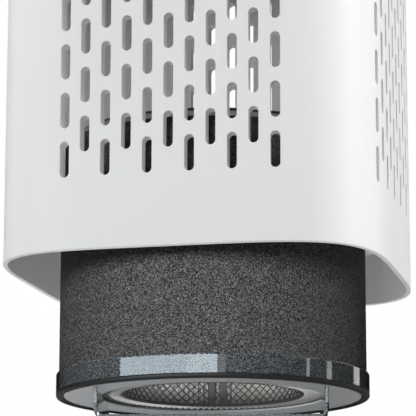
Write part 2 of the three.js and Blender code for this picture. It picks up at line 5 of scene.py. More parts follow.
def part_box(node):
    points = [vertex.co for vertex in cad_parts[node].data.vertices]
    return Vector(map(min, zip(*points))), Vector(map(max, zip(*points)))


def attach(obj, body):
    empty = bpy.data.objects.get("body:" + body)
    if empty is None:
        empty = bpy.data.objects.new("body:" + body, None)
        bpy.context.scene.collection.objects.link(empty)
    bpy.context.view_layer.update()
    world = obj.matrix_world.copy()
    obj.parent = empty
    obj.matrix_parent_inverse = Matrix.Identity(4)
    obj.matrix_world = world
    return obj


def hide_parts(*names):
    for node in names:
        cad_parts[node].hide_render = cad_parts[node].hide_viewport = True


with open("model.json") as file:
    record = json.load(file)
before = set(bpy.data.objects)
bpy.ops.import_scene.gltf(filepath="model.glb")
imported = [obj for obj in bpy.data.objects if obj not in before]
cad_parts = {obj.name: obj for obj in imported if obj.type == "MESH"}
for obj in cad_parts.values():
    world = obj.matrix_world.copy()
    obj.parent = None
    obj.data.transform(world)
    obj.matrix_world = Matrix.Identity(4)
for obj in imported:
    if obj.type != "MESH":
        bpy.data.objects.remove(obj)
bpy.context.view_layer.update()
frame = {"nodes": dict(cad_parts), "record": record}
mm = 0.001
gap = 0.3 * mm  # left between pieces that are fitted together
cartridgeTurn = math.radians(12)  # the cartridge hangs a little turned in the casing
print("frame loaded:", len(frame["nodes"]), "nodes")


# ---- mesh helpers ----
def makeObject(name, verts, faces, sharp=34):
    mesh = bpy.data.meshes.new(name)
    mesh.from_pydata(verts, [], faces)
    mesh.validate()
    tidy = bmesh.new()
    tidy.from_mesh(mesh)
    bmesh.ops.recalc_face_normals(tidy, faces=tidy.faces)
    tidy.to_mesh(mesh)
    tidy.free()
    smoothShade(mesh, sharp)
    obj = bpy.data.objects.new(name, mesh)
    bpy.context.scene.collection.objects.link(obj)
    return obj


def smoothShade(mesh, sharp=34):
    mesh.polygons.foreach_set("use_smooth", [True] * len(mesh.polygons))
    mesh.set_sharp_from_angle(angle=math.radians(sharp))


def applyModifiers(obj, sharp=34):
    shaped = obj.evaluated_get(bpy.context.evaluated_depsgraph_get())
    mesh = bpy.data.meshes.new_from_object(shaped)
    obj.modifiers.clear()
    obj.data = mesh
    smoothShade(mesh, sharp)
    return obj


def joined(name, pieces):
    with bpy.context.temp_override(active_object=pieces[0], selected_editable_objects=pieces,
                                   selected_objects=pieces, object=pieces[0]):
        bpy.ops.object.join()
    pieces[0].name = name
    return pieces[0]


def cutWith(obj, tools, sharp=34):
    for tool in tools:
        cutter = obj.modifiers.new("cut", "BOOLEAN")
        cutter.operation = "DIFFERENCE"
        cutter.solver = "EXACT"
        cutter.object = tool
    applyModifiers(obj, sharp)
    for tool in tools:
        bpy.data.objects.remove(tool)
    return obj


# An outline's corners rounded to small arcs. Points are (radius, height), with any further
# values carried along.
def softened(outline, radius, steps=3):
    points = []
    count = len(outline)
    for i, here in enumerate(outline):
        before = Vector(outline[i - 1][:2])
        after = Vector(outline[(i + 1) % count][:2])
        corner = Vector(here[:2])
        back = before - corner
        ahead = after - corner
        reach = min(radius, 0.45 * back.length, 0.45 * ahead.length)
        start = corner + back.normalized() * reach
        end = corner + ahead.normalized() * reach
        for step in range(steps + 1):
            t = step / steps
            spot = start * (1 - t) ** 2 + corner * 2 * t * (1 - t) + end * t ** 2
            points.append((spot.x, spot.y, *here[2:]))
    return points


# The casing: a rounded square with staggered slots.
casing = {
    "roundness": 4.2,
    "rimWall": 3 * mm,
    "fieldWall": 8.5 * mm,
    "fieldChamfer": 6 * mm,
    "fieldMargin": 4.5 * mm,
    "solidBand": 44.8 * mm,
    "columns": 11,
    "rows": 6,
    "columnPitch": 13 * mm,
    "rowPitch": 30.5 * mm,
    "slotWidth": 5.8 * mm,
    "slotLength": 22 * mm,
    "slotRounding": 0.5 * mm,
    "edgeRounding": 0.8 * mm,
    "rimStrip": 18 * mm,
    "topStrip": 20 * mm,
    "screwHead": 2.5 * mm,
    "deckPlate": 3 * mm,
}


# The mains inlet: its nose comes through the wall, and its flange lies behind it.
inlet = {"lip": 4 * mm, "noseHalf": 14.7 * mm, "noseDepth": 15.6 * mm, "noseRounding": 1.4 * mm,
         "flangeHalf": 19 * mm, "flangeDepth": 1.9 * mm, "flangeBack": 115.4 * mm, "socketHalf": 7.2 * mm,
         "socketInset": 6.1 * mm, "pocketHalf": 12.6 * mm, "pocketInset": 2.4 * mm, "pocketOut": 10.5 * mm,
         "pinApart": 8.4 * mm, "pinRadius": 1.2 * mm, "pinLength": 8.2 * mm, "pinDepth": 13.5 * mm}


# How much further out than a circle the rounded square lies at an angle.
def squareness(angle):
    power = casing["roundness"]
    return (abs(math.cos(angle)) ** power + abs(math.sin(angle)) ** power) ** (-1 / power)


# A closed outline revolved about Z. Each point is (radius, height, square, lobe): square is
# how far it goes from round (0) to the casing's section (1), and lobe cuts a six-lobed socket.
def revolve(name, outline, segments=192, sharp=34):
    verts = []
    for turn in range(segments):
        angle = 2 * math.pi * turn / segments
        for point in outline:
            square = point[2] if len(point) > 2 else 0
            lobe = point[3] if len(point) > 3 else 0
            radius = point[0] * (1 + square * (squareness(angle) - 1) + lobe * math.cos(6 * angle))
            verts.append((radius * math.cos(angle), radius * math.sin(angle), point[1]))
    count = len(outline)
    faces = []
    for turn in range(segments):
        onward = (turn + 1) % segments
        for i in range(count):
            j = (i + 1) % count
            if outline[i][0] < 1e-7 and outline[j][0] < 1e-7:
                continue
            faces.append((turn * count + i, onward * count + i, onward * count + j, turn * count + j))
    obj = makeObject(name, verts, faces, sharp)
    weld(obj, sharp)
    return obj


def weld(obj, sharp=34):
    tidy = bmesh.new()
    tidy.from_mesh(obj.data)
    bmesh.ops.remove_doubles(tidy, verts=tidy.verts, dist=1e-6)
    bmesh.ops.dissolve_degenerate(tidy, edges=tidy.edges, dist=1e-7)
    bmesh.ops.recalc_face_normals(tidy, faces=tidy.faces)
    tidy.to_mesh(obj.data)
    tidy.free()
    smoothShade(obj.data, sharp)


# Points in millimetres from a radius and a height.
def fromSpot(radius, height, *points):
    return [(radius + x * mm, height + z * mm, *more) for x, z, *more in points]


def ring(name, inner, outer, low, high, rounding=0.4 * mm, segments=192, steps=3):
    outline = [(inner, low), (outer, low), (outer, high), (inner, high)]
    return revolve(name, softened(outline, rounding, steps), segments)


# A flat outline of (x, y) points raised from low to high, with its edges bevelled.
def slab(name, outline, low, high, bevel=0.3 * mm):
    count = len(outline)
    verts = [(x, y, z) for z in (low, high) for x, y in outline]
    faces = [tuple(range(count))[::-1], tuple(range(count, 2 * count))]
    faces += [(i, (i + 1) % count, count + (i + 1) % count, count + i) for i in range(count)]
    obj = makeObject(name, verts, faces)
    if bevel:
        edge = obj.modifiers.new("edge", "BEVEL")
        edge.width = bevel
        edge.segments = 2
        edge.limit_method = "ANGLE"
        edge.angle_limit = math.radians(40)
        applyModifiers(obj)
    return obj


def roundedBox(name, low, high, bevel=0.5 * mm):
    outline = [(low[0], low[1]), (high[0], low[1]), (high[0], high[1]), (low[0], high[1])]
    return slab(name, outline, low[2], high[2], bevel)


# A rounded rectangle round the origin, in steps points at each corner.
def roundedOutline(halfX, halfY, corner, steps):
    outline = []
    for signX, signY, start in ((1, 1, 0), (-1, 1, 90), (-1, -1, 180), (1, -1, 270)):
        for i in range(steps):
            angle = math.radians(start + 90 * i / (steps - 1))
            outline.append((signX * (halfX - corner) + corner * math.cos(angle),
                            signY * (halfY - corner) + corner * math.sin(angle)))
    return outline


# The faces between closed loops of vertices that lie one after another in the mesh.
def loopFaces(order, turns):
    faces = []
    for one, two in zip(order, order[1:] + order[:1]):
        for turn in range(turns):
            onward = (turn + 1) % turns
            faces.append((one * turns + turn, one * turns + onward, two * turns + onward, two * turns + turn))
    return faces


def turnedBy(obj, angle, axis="Z"):
    obj.data.transform(obj.matrix_world.Rotation(angle, 4, axis))
    return obj


def moved(obj, x=0, y=0, z=0):
    obj.data.transform(obj.matrix_world.Translation((x, y, z)))
    return obj


# ---- shader node groups ----
def newGroup(name, inputs, outputs):
    group = bpy.data.node_groups.new(name, "ShaderNodeTree")
    for label, value in inputs.items():
        socket = group.interface.new_socket(label, in_out="INPUT", socket_type="NodeSocketFloat")
        socket.default_value = value
    for label, kind in outputs.items():
        group.interface.new_socket(label, in_out="OUTPUT", socket_type="NodeSocket" + kind)
    return group, group.nodes.new("NodeGroupInput"), group.nodes.new("NodeGroupOutput")


def mathNode(tree, operation, first, second=None, clamp=False):
    node = tree.nodes.new("ShaderNodeMath")
    node.operation = operation
    node.use_clamp = clamp
    for socket, value in zip(node.inputs, (first, second)):
        if value is None:
            continue
        if isinstance(value, (int, float)):
            socket.default_value = value
        else:
            tree.links.new(value, socket)
    return node.outputs[0]


def noiseNode(tree, scale, detail=3, roughness=0.5):
    place = tree.nodes.new("ShaderNodeTexCoord")
    node = tree.nodes.new("ShaderNodeTexNoise")
    node.inputs["Detail"].default_value = detail
    node.inputs["Roughness"].default_value = roughness
    tree.links.new(place.outputs["Object"], node.inputs["Vector"])
    if isinstance(scale, (int, float)):
        node.inputs["Scale"].default_value = scale
    else:
        tree.links.new(scale, node.inputs["Scale"])
    return node.outputs["Fac"]


# Fine moulding grain: a height for bumps and a slow variation for gloss.
def makeGrain():
    looks = {"broadScale": 14, "broadRoughness": 0.6}
    group, given, out = newGroup("mouldGrain", {"Grain Size": 900, "Depth": 1, "Gloss Change": 0.08},
                                 {"Height": "Float", "Gloss": "Float"})
    fine = noiseNode(group, given.outputs["Grain Size"], 2)
    broad = noiseNode(group, looks["broadScale"], 4, looks["broadRoughness"])
    height = mathNode(group, "MULTIPLY", fine, given.outputs["Depth"])
    centred = mathNode(group, "SUBTRACT", broad, 0.5)
    gloss = mathNode(group, "MULTIPLY", centred, given.outputs["Gloss Change"])
    group.links.new(height, out.inputs["Height"])
    group.links.new(gloss, out.inputs["Gloss"])
    return group


# Edges rubbed brighter by handling: a mask from the mesh's own sharpness, broken by noise.
def makeEdgeWear():
    looks = {"sharpness": 14, "patchScale": 160}
    group, given, out = newGroup("edgeWear", {"Amount": 0.5, "Start": 0.53}, {"Mask": "Float"})
    surface = group.nodes.new("ShaderNodeNewGeometry")
    above = mathNode(group, "SUBTRACT", surface.outputs["Pointiness"], given.outputs["Start"])
    strong = mathNode(group, "MULTIPLY", above, looks["sharpness"], clamp=True)
    broken = mathNode(group, "MULTIPLY", strong, noiseNode(group, looks["patchScale"], 5, 0.7))
    mask = mathNode(group, "MULTIPLY", broken, given.outputs["Amount"], clamp=True)
    group.links.new(mask, out.inputs["Mask"])
    return group


# Dust that settles on what faces up.
def makeDust():
    looks = {"patchScale": 45}
    group, given, out = newGroup("dustFilm", {"Amount": 0.2}, {"Mask": "Float"})
    surface = group.nodes.new("ShaderNodeNewGeometry")
    split = group.nodes.new("ShaderNodeSeparateXYZ")
    group.links.new(surface.outputs["Normal"], split.inputs[0])
    upward = mathNode(group, "MULTIPLY", split.outputs["Z"], 1, clamp=True)
    patchy = mathNode(group, "MULTIPLY", upward, noiseNode(group, looks["patchScale"], 6, 0.65))
    mask = mathNode(group, "MULTIPLY", patchy, given.outputs["Amount"], clamp=True)
    group.links.new(mask, out.inputs["Mask"])
    return group


# Loose carbon granules packed together: a shade for each granule and a height.
def makeGranules():
    looks = {"gritScale": 2400, "contrast": 2}
    group, given, out = newGroup("granules", {"Granule Size": 620, "Depth": 1},
                                 {"Shade": "Float", "Height": "Float"})
    place = group.nodes.new("ShaderNodeTexCoord")
    cells = group.nodes.new("ShaderNodeTexVoronoi")
    group.links.new(place.outputs["Object"], cells.inputs["Vector"])
    group.links.new(given.outputs["Granule Size"], cells.inputs["Scale"])
    split = group.nodes.new("ShaderNodeSeparateColor")
    group.links.new(cells.outputs["Color"], split.inputs[0])
    grit = noiseNode(group, looks["gritScale"], 3, 0.7)
    mixed = mathNode(group, "MULTIPLY", split.outputs[0], grit)
    bright = mathNode(group, "POWER", mixed, looks["contrast"])
    bulge = mathNode(group, "SUBTRACT", 1, cells.outputs["Distance"])
    height = mathNode(group, "MULTIPLY", bulge, given.outputs["Depth"])
    group.links.new(bright, out.inputs["Shade"])
    group.links.new(height, out.inputs["Height"])
    return group


grainGroup = makeGrain()
wearGroup = makeEdgeWear()
dustGroup = makeDust()
granuleGroup = makeGranules()
print("node groups made")


# ---- materials ----
def newMaterial(name):
    material = bpy.data.materials.new(name)
    material.use_nodes = True
    tree = material.node_tree
    return material, tree, tree.nodes["Principled BSDF"]


def placeGroup(tree, group, **values):
    node = tree.nodes.new("ShaderNodeGroup")
    node.node_tree = group
    for label, value in values.items():
        node.inputs[label.replace("_", " ")].default_value = value
    return node


def mixColour(tree, factor, first, second):
    node = tree.nodes.new("ShaderNodeMix")
    node.data_type = "RGBA"
    if isinstance(factor, (int, float)):
        node.inputs["Factor"].default_value = factor
    else:
        tree.links.new(factor, node.inputs["Factor"])
    for socket, value in ((node.inputs["A"], first), (node.inputs["B"], second)):
        if isinstance(value, tuple):
            socket.default_value = (*value, 1)
        else:
            tree.links.new(value, socket)
    return node.outputs["Result"]


def addBump(tree, shader, height, strength, distance):
    bump = tree.nodes.new("ShaderNodeBump")
    bump.inputs["Strength"].default_value = strength
    bump.inputs["Distance"].default_value = distance
    tree.links.new(height, bump.inputs["Height"])
    tree.links.new(bump.outputs["Normal"], shader.inputs["Normal"])


# Shows the first shader where the factor is 0, and the second where it is 1.
def showMix(tree, factor, first, second, output="Material Output"):
    mix = tree.nodes.new("ShaderNodeMixShader")
    tree.links.new(factor, mix.inputs["Fac"])
    tree.links.new(first, mix.inputs[1])
    tree.links.new(second, mix.inputs[2])
    tree.links.new(mix.outputs[0], tree.nodes[output].inputs["Surface"])


# What all moulded pieces share.
mouldedLooks = {"dustColour": (0.52, 0.5, 0.47), "dustRoughness": 0.5, "coatRoughness": 0.08, "bending": 1.5,
                "tintScale": 9, "grainHeight": 0.06 * mm}


# A moulded plastic, rubber or metal, made from one dictionary of looks.
def mouldedMaterial(name, looks):
    material, tree, shader = newMaterial(name)
    grain = placeGroup(tree, grainGroup, Grain_Size=looks["grainSize"], Gloss_Change=looks["glossChange"])
    wear = placeGroup(tree, wearGroup, Amount=looks["wear"])
    dust = placeGroup(tree, dustGroup, Amount=looks["dust"])
    tinted = mixColour(tree, noiseNode(tree, mouldedLooks["tintScale"], 4), looks["colour"], looks["shade"])
    worn = mixColour(tree, wear.outputs["Mask"], tinted, looks["wornColour"])
    dusty = mixColour(tree, dust.outputs["Mask"], worn, mouldedLooks["dustColour"])
    tree.links.new(dusty, shader.inputs["Base Color"])
    rough = mathNode(tree, "ADD", grain.outputs["Gloss"], looks["roughness"])
    dulled = mathNode(tree, "MULTIPLY", dust.outputs["Mask"], mouldedLooks["dustRoughness"])
    rough = mathNode(tree, "ADD", rough, dulled, clamp=True)
    tree.links.new(rough, shader.inputs["Roughness"])
    shader.inputs["Metallic"].default_value = looks.get("metallic", 0)
    shader.inputs["Coat Weight"].default_value = looks.get("coat", 0)
    shader.inputs["Coat Roughness"].default_value = mouldedLooks["coatRoughness"]
    shader.inputs["IOR"].default_value = mouldedLooks["bending"]
    addBump(tree, shader, grain.outputs["Height"], looks["bump"], mouldedLooks["grainHeight"])
    return material


plasticLooks = {
    "white_shell": {"colour": (0.81, 0.808, 0.805), "shade": (0.785, 0.783, 0.78),
                    "wornColour": (0.86, 0.86, 0.86),
                    "roughness": 0.42, "grainSize": 1400, "glossChange": 0.06, "wear": 0.12, "dust": 0.05,
                    "bump": 0.12},
    "grey_plastic": {"colour": (0.4, 0.41, 0.42), "shade": (0.35, 0.36, 0.37), "wornColour": (0.6, 0.6, 0.6),
                     "roughness": 0.16, "grainSize": 700, "glossChange": 0.12, "wear": 0.3, "dust": 0.1,
                     "bump": 0.08, "coat": 0.4},
    # A lighter copy of grey plastic for the bottom plate: painted light that makes up for the shade the
    # downward-facing plate sits in.
    "plate_plastic_painted_light": {"colour": (0.52, 0.53, 0.54), "shade": (0.46, 0.47, 0.48),
                      "wornColour": (0.8, 0.8, 0.8),
                      "roughness": 0.22, "grainSize": 700, "glossChange": 0.12, "wear": 0.2, "dust": 0.1,
                      "bump": 0.08, "coat": 0.3},
    "dark_plastic": {"colour": (0.03, 0.031, 0.033), "shade": (0.022, 0.023, 0.025),
                     "wornColour": (0.12, 0.12, 0.12),
                     "roughness": 0.5, "grainSize": 1100, "glossChange": 0.15, "wear": 0.5, "dust": 0.35,
                     "bump": 0.35},
    "impeller_plastic": {"colour": (0.05, 0.052, 0.056), "shade": (0.035, 0.037, 0.04),
                         "wornColour": (0.16, 0.16, 0.17),
                         "roughness": 0.38, "grainSize": 800, "glossChange": 0.2, "wear": 0.4, "dust": 0.25,
                         "bump": 0.2},
    "black_rubber": {"colour": (0.011, 0.011, 0.012), "shade": (0.02, 0.02, 0.02),
                     "wornColour": (0.06, 0.06, 0.06),
                     "roughness": 0.5, "grainSize": 1600, "glossChange": 0.2, "wear": 0.3, "dust": 0.2,
                     "bump": 0.3},
    "steel": {"colour": (0.6, 0.61, 0.62), "shade": (0.5, 0.5, 0.51), "wornColour": (0.8, 0.8, 0.8),
              "roughness": 0.28, "grainSize": 500, "glossChange": 0.3, "wear": 0.4, "dust": 0.1,
              "bump": 0.15, "metallic": 1},
    "smoked_window": {"colour": (0.008, 0.009, 0.011), "shade": (0.012, 0.013, 0.016),
                      "wornColour": (0.05, 0.05, 0.05),
                      "roughness": 0.07, "grainSize": 300, "glossChange": 0.04, "wear": 0.1, "dust": 0.1,
                      "bump": 0.02, "coat": 1},
    "capacitor_can": {"colour": (0.02, 0.022, 0.03), "shade": (0.03, 0.03, 0.04),
                      "wornColour": (0.3, 0.3, 0.3),
                      "roughness": 0.3, "grainSize": 500, "glossChange": 0.1, "wear": 0.3, "dust": 0.2,
                      "bump": 0.1},
    "transformer_wrap": {"colour": (0.55, 0.33, 0.03), "shade": (0.42, 0.25, 0.02),
                         "wornColour": (0.7, 0.5, 0.2),
                         "roughness": 0.45, "grainSize": 260, "glossChange": 0.2, "wear": 0.3, "dust": 0.2,
                         "bump": 0.5},
    "copper_winding": {"colour": (0.5, 0.17, 0.05), "shade": (0.3, 0.09, 0.03), "wornColour": (0.8, 0.4, 0.2),
                       "roughness": 0.35, "grainSize": 200, "glossChange": 0.3, "wear": 0.2, "dust": 0.2,
                       "bump": 0.6, "metallic": 0.7},
}
materials = {slot: mouldedMaterial(slot, looks) for slot, looks in plasticLooks.items()}


def carbonMaterial():
    looks = {"granuleSize": 1600, "dark": (0.008, 0.008, 0.0085), "light": (0.28, 0.28, 0.284), "dust": 0.15,
             "dustColour": (0.2, 0.2, 0.2), "roughness": 0.75, "specular": 0.2, "bump": 0.8,
             "grain": 0.6 * mm}
    material, tree, shader = newMaterial("carbon_granules")
    granules = placeGroup(tree, granuleGroup, Granule_Size=looks["granuleSize"])
    colour = mixColour(tree, granules.outputs["Shade"], looks["dark"], looks["light"])
    dust = placeGroup(tree, dustGroup, Amount=looks["dust"])
    dusty = mixColour(tree, dust.outputs["Mask"], colour, looks["dustColour"])
    tree.links.new(dusty, shader.inputs["Base Color"])
    shader.inputs["Roughness"].default_value = looks["roughness"]
    shader.inputs["Specular IOR Level"].default_value = looks["specular"]
    addBump(tree, shader, granules.outputs["Height"], looks["bump"], looks["grain"])
    return material


def paperMaterial():
    looks = {"paper": (0.86, 0.85, 0.82), "soot": (0.5, 0.49, 0.46), "fibreScale": 420, "roughness": 0.9,
             "sheen": 0.2, "bump": 0.5, "fibreHeight": 0.2 * mm}
    material, tree, shader = newMaterial("filter_paper")
    fibres = noiseNode(tree, looks["fibreScale"], 6, 0.75)
    tree.links.new(mixColour(tree, fibres, looks["paper"], looks["soot"]), shader.inputs["Base Color"])
    shader.inputs["Roughness"].default_value = looks["roughness"]
    shader.inputs["Sheen Weight"].default_value = looks["sheen"]
    addBump(tree, shader, fibres, looks["bump"], looks["fibreHeight"])
    return material


def circuitMaterial():
    looks = {"mask": (0.012, 0.11, 0.04), "track": (0.03, 0.2, 0.07), "pad": (0.5, 0.42, 0.2),
             "trackScale": 260, "trackWidth": 0.06, "padScale": 240, "padSize": 0.16, "roughness": 0.4,
             "padGloss": 0.15, "trackHeight": 0.1 * mm}
    material, tree, shader = newMaterial("circuit_board")
    place = tree.nodes.new("ShaderNodeTexCoord")
    lines = tree.nodes.new("ShaderNodeTexBrick")
    lines.inputs["Scale"].default_value = looks["trackScale"]
    lines.inputs["Mortar Size"].default_value = looks["trackWidth"]
    tree.links.new(place.outputs["Object"], lines.inputs["Vector"])
    tracks = mixColour(tree, lines.outputs["Fac"], looks["mask"], looks["track"])
    dots = tree.nodes.new("ShaderNodeTexVoronoi")
    dots.inputs["Scale"].default_value = looks["padScale"]
    tree.links.new(place.outputs["Object"], dots.inputs["Vector"])
    near = mathNode(tree, "LESS_THAN", dots.outputs["Distance"], looks["padSize"])
    tree.links.new(mixColour(tree, near, tracks, looks["pad"]), shader.inputs["Base Color"])
    glossier = mathNode(tree, "MULTIPLY", near, looks["padGloss"])
    tree.links.new(mathNode(tree, "SUBTRACT", looks["roughness"], glossier), shader.inputs["Roughness"])
    addBump(tree, shader, lines.outputs["Fac"], 0.3, looks["trackHeight"])
    return material


# Clear polished plastic. Shadow rays pass, so what lies behind it is lit.
def clearMaterial(name, looks):
    material, tree, shader = newMaterial(name)
    smears = noiseNode(tree, 30, 5, 0.6)
    tree.links.new(mixColour(tree, smears, looks["tint"], looks["smear"]), shader.inputs["Base Color"])
    tree.links.new(mathNode(tree, "MULTIPLY", smears, 2 * looks["roughness"]), shader.inputs["Roughness"])
    shader.inputs["Metallic"].default_value = 0
    shader.inputs["Transmission Weight"].default_value = 1
    shader.inputs["IOR"].default_value = looks["bending"]
    rays = tree.nodes.new("ShaderNodeLightPath")
    through = tree.nodes.new("ShaderNodeBsdfTransparent")
    through.inputs["Color"].default_value = (*looks["shadow"], 1)
    showMix(tree, rays.outputs["Is Shadow Ray"], shader.outputs["BSDF"], through.outputs["BSDF"])
    return material


materials["carbon_granules"] = carbonMaterial()
materials["filter_paper"] = paperMaterial()
materials["circuit_board"] = circuitMaterial()
clearLooks = {
    "clear_plastic": {"tint": (0.96, 0.975, 0.98), "smear": (0.92, 0.95, 0.96), "roughness": 0.02,
                      "bending": 1.45, "shadow": (0.9, 0.93, 0.935)},
    "clear_film": {"tint": (0.96, 0.97, 0.975), "smear": (0.9, 0.92, 0.93), "roughness": 0.01,
                   "bending": 1.015, "shadow": (0.9, 0.93, 0.935)},
}
for slot, looks in clearLooks.items():
    materials[slot] = clearMaterial(slot, looks)
materials["dark_mesh"] = materials["dark_plastic"]
print("materials made:", len(materials))


def finishPiece(obj, body, slot, *standsFor, finish=None, flats=True):
    obj.data.materials.clear()
    obj.data.materials.append(materials[finish or slot])
    if flats:  # flat faces stay flat beside their rounded edges
        weighted = obj.modifiers.new("weighted", "WEIGHTED_NORMAL")
        weighted.keep_sharp = True
    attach(obj, body)
    if standsFor:
        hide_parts(*standsFor)
    return obj


# ---- the casing's shell ----
shellLow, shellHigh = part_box("outer_shell")
coverLow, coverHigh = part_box("top_cover")
deckLow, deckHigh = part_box("fan_deck")
halfWidth = shellHigh.x
rim = shellLow.z
edgeOfFace = (casing["columns"] / 2) * casing["columnPitch"]


# The casing's outline on the front face, as (distance along it, point, direction it faces).
def makeContour():
    table = []
    gone = 0
    last = None
    count = 1200
    for i in range(-count, count + 1):
        angle = -math.pi / 2 + (math.pi / 4) * i / count
        radius = halfWidth * squareness(angle)
        point = Vector((radius * math.cos(angle), radius * math.sin(angle)))
        power = casing["roundness"] - 1
        facing = Vector((math.copysign(abs(point.x) ** power, point.x), -abs(point.y) ** power)).normalized()
        if last is not None:
            gone += (point - last).length
        last = point
        table.append((gone, point, facing))
    half = gone / 2
    return [(distance - half, point, facing) for distance, point, facing in table]


contour = makeContour()
faceHalf = contour[-1][0]


def contourAt(distance):
    low, high = 0, len(contour) - 1
    while high - low > 1:
        middle = (low + high) // 2
        if contour[middle][0] <= distance:
            low = middle
        else:
            high = middle
    before, after = contour[low], contour[high]
    share = (distance - before[0]) / (after[0] - before[0])
    return before[1].lerp(after[1], share), before[2].lerp(after[2], share).normalized()


quarterTurns = [(1, 0), (0, 1), (-1, 0), (0, -1)]


# A point of the wall: how far along a face, how deep in the wall, how high above the rim.
def wallPoint(face, distance, depth, height, facing=None):
    point, ownFacing = contourAt(distance)
    point = point - (facing or ownFacing) * depth
    cosine, sine = quarterTurns[face]
    return (point.x * cosine - point.y * sine, point.x * sine + point.y * cosine, rim + height)


# The slot's outline: a stadium in 32 points that starts at the left end of its lower arc.
def stadium(radius, half):
    points = [(radius * math.cos(math.pi * (1 + i / 10)), radius * math.sin(math.pi * (1 + i / 10)) - half)
              for i in range(10)]
    points += [(radius, -half + 2 * half * i / 6) for i in range(6)]
    points += [(radius * math.cos(math.pi * i / 10), radius * math.sin(math.pi * i / 10) + half)
               for i in range(10)]
    points += [(-radius, half - 2 * half * i / 6) for i in range(6)]
    return points


# The cell's border, in steps that match the stadium's: (quarter of the width, level).
def cellBorder():
    border = [(0, level) for level in (3, 2, 1)]
    border += [(quarter, 0) for quarter in (0, 1, 2, 3)]
    border += [(4, level) for level in range(0, 12)]
    border += [(quarter, 12) for quarter in (4, 3, 2, 1)]
    border += [(0, level) for level in range(12, 3, -1)]
    return border


def makeShell():
    cornerSteps = 14
    pitch = casing["columnPitch"]
    step = casing["rowPitch"] / 12
    margin = (casing["rowPitch"] - casing["slotLength"]) / 2
    fieldLow = casing["solidBand"] - margin
    levels = 12 * casing["rows"]
    fieldHigh = fieldLow + step * levels
    corner = [-faceHalf + (faceHalf - edgeOfFace) * i / cornerSteps for i in range(cornerSteps)]
    middle = [-edgeOfFace + pitch * i / 4 for i in range(4 * casing["columns"])]
    other = [edgeOfFace + (faceHalf - edgeOfFace) * i / cornerSteps for i in range(cornerSteps)]
    stations = corner + middle + other
    round_ = 4 * len(stations)
    thick = casing["fieldWall"]
    thin = casing["rimWall"]
    edge = casing["edgeRounding"]
    verts = []
    faces = []
    known = {}

    def vertex(key, place):
        if key not in known:
            known[key] = len(verts)
            verts.append(place())
        return known[key]

    def gridVertex(depth, height, station):
        station %= round_
        face, index = divmod(station, len(stations))
        key = (round(depth, 6), round(height, 6), station)
        return vertex(key, lambda: wallPoint(face, stations[index], depth, height))

    def band(outline):
        for (depth1, height1), (depth2, height2) in zip(outline, outline[1:]):
            for station in range(round_):
                faces.append((gridVertex(depth1, height1, station), gridVertex(depth1, height1, station + 1),
                              gridVertex(depth2, height2, station + 1), gridVertex(depth2, height2, station)))

    chamferLow = casing["solidBand"] - casing["fieldChamfer"] - casing["fieldMargin"]
    strip = casing["rimStrip"]
    rounded = softened([(thin, strip), (thin, 0), (0, 0), (0, strip)], edge, 4)[5:15]
    band([(thick, fieldLow), (thick, chamferLow + casing["fieldChamfer"]), (thin, chamferLow), (thin, strip)]
         + rounded + [(0, strip), (0, fieldLow)])
    top = shellHigh.z - rim
    strip = top - casing["topStrip"]
    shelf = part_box("deck_screw_1")[1].z - rim - casing["screwHead"] - casing["deckPlate"] - gap
    rounded = softened([(0, strip), (0, top), (thin, top), (thin, strip)], edge * 0.6, 3)[4:12]
    band([(0, fieldHigh), (0, strip)] + rounded
         + [(thin, strip), (thin, shelf), (thick, shelf), (thick, fieldHigh)])

    def plainPatch(first, last, lowLevel, highLevel):
        for depth in (0, thick):
            for level in range(lowLevel, highLevel):
                for station in range(first, last):
                    low = fieldLow + step * level
                    high = fieldLow + step * (level + 1)
                    faces.append((gridVertex(depth, low, station), gridVertex(depth, low, station + 1),
                                  gridVertex(depth, high, station + 1), gridVertex(depth, high, station)))

    radius = casing["slotWidth"] / 2
    half = casing["slotLength"] / 2 - radius
    soft = casing["slotRounding"]
    rings = [(radius + soft, 0), (radius + 0.3 * soft, 0.3 * soft), (radius, soft), (radius, thick / 2),
             (radius, thick - soft), (radius + 0.3 * soft, thick - 0.3 * soft), (radius + soft, thick)]
    border = cellBorder()

    def slotCell(face, column, first, lowLevel):
        distance = (column - (casing["columns"] - 1) / 2) * pitch
        height = fieldLow + step * (lowLevel + 6)
        facing = contourAt(distance)[1]
        outer, inner = ([gridVertex(depth, fieldLow + step * (lowLevel + level), first + quarter)
                         for quarter, level in border] for depth in (0, thick))
        loops = [outer]
        for number, (size, depth) in enumerate(rings):
            loops.append([vertex(("slot", face, column, lowLevel, number, i),
                                 lambda: wallPoint(face, distance + x, depth, height + z, facing))
                          for i, (x, z) in enumerate(stadium(size, half))])
        loops.append(inner)
        for one, two in zip(loops, loops[1:]):
            for i in range(32):
                j = (i + 1) % 32
                faces.append((one[i], one[j], two[j], two[i]))

    for face in range(4):
        start = face * len(stations)
        plainPatch(start, start + cornerSteps, 0, levels)
        plainPatch(start + cornerSteps + 4 * casing["columns"], start + len(stations), 0, levels)
        for column in range(casing["columns"]):
            first = start + cornerSteps + 4 * column
            between = column % 2 == 1
            offset = 6 if between else 0
            rows = casing["rows"] - (1 if between else 0)
            for row in range(rows):
                slotCell(face, column, first, offset + 12 * row)
            if between:
                plainPatch(first, first + 4, 0, 6)
                plainPatch(first, first + 4, levels - 6, levels)
    shell = makeObject("shell", verts, faces, 40)
    inletLow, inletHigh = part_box("power_inlet")
    sensorLow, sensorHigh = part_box("sensor_cover")
    lip = inlet["lip"] - gap
    inletHole = roundedHole("inletHole", (0, halfWidth), inlet["noseHalf"] + gap, inletLow.z + lip,
                            inletHigh.z - lip, 0)
    sensorHole = roundedHole("sensorHole", (-halfWidth, 0), sensorHigh.y + gap, sensorLow.z - gap,
                             sensorHigh.z + gap, math.pi / 2)
    return cutWith(shell, [inletHole, sensorHole], 40)


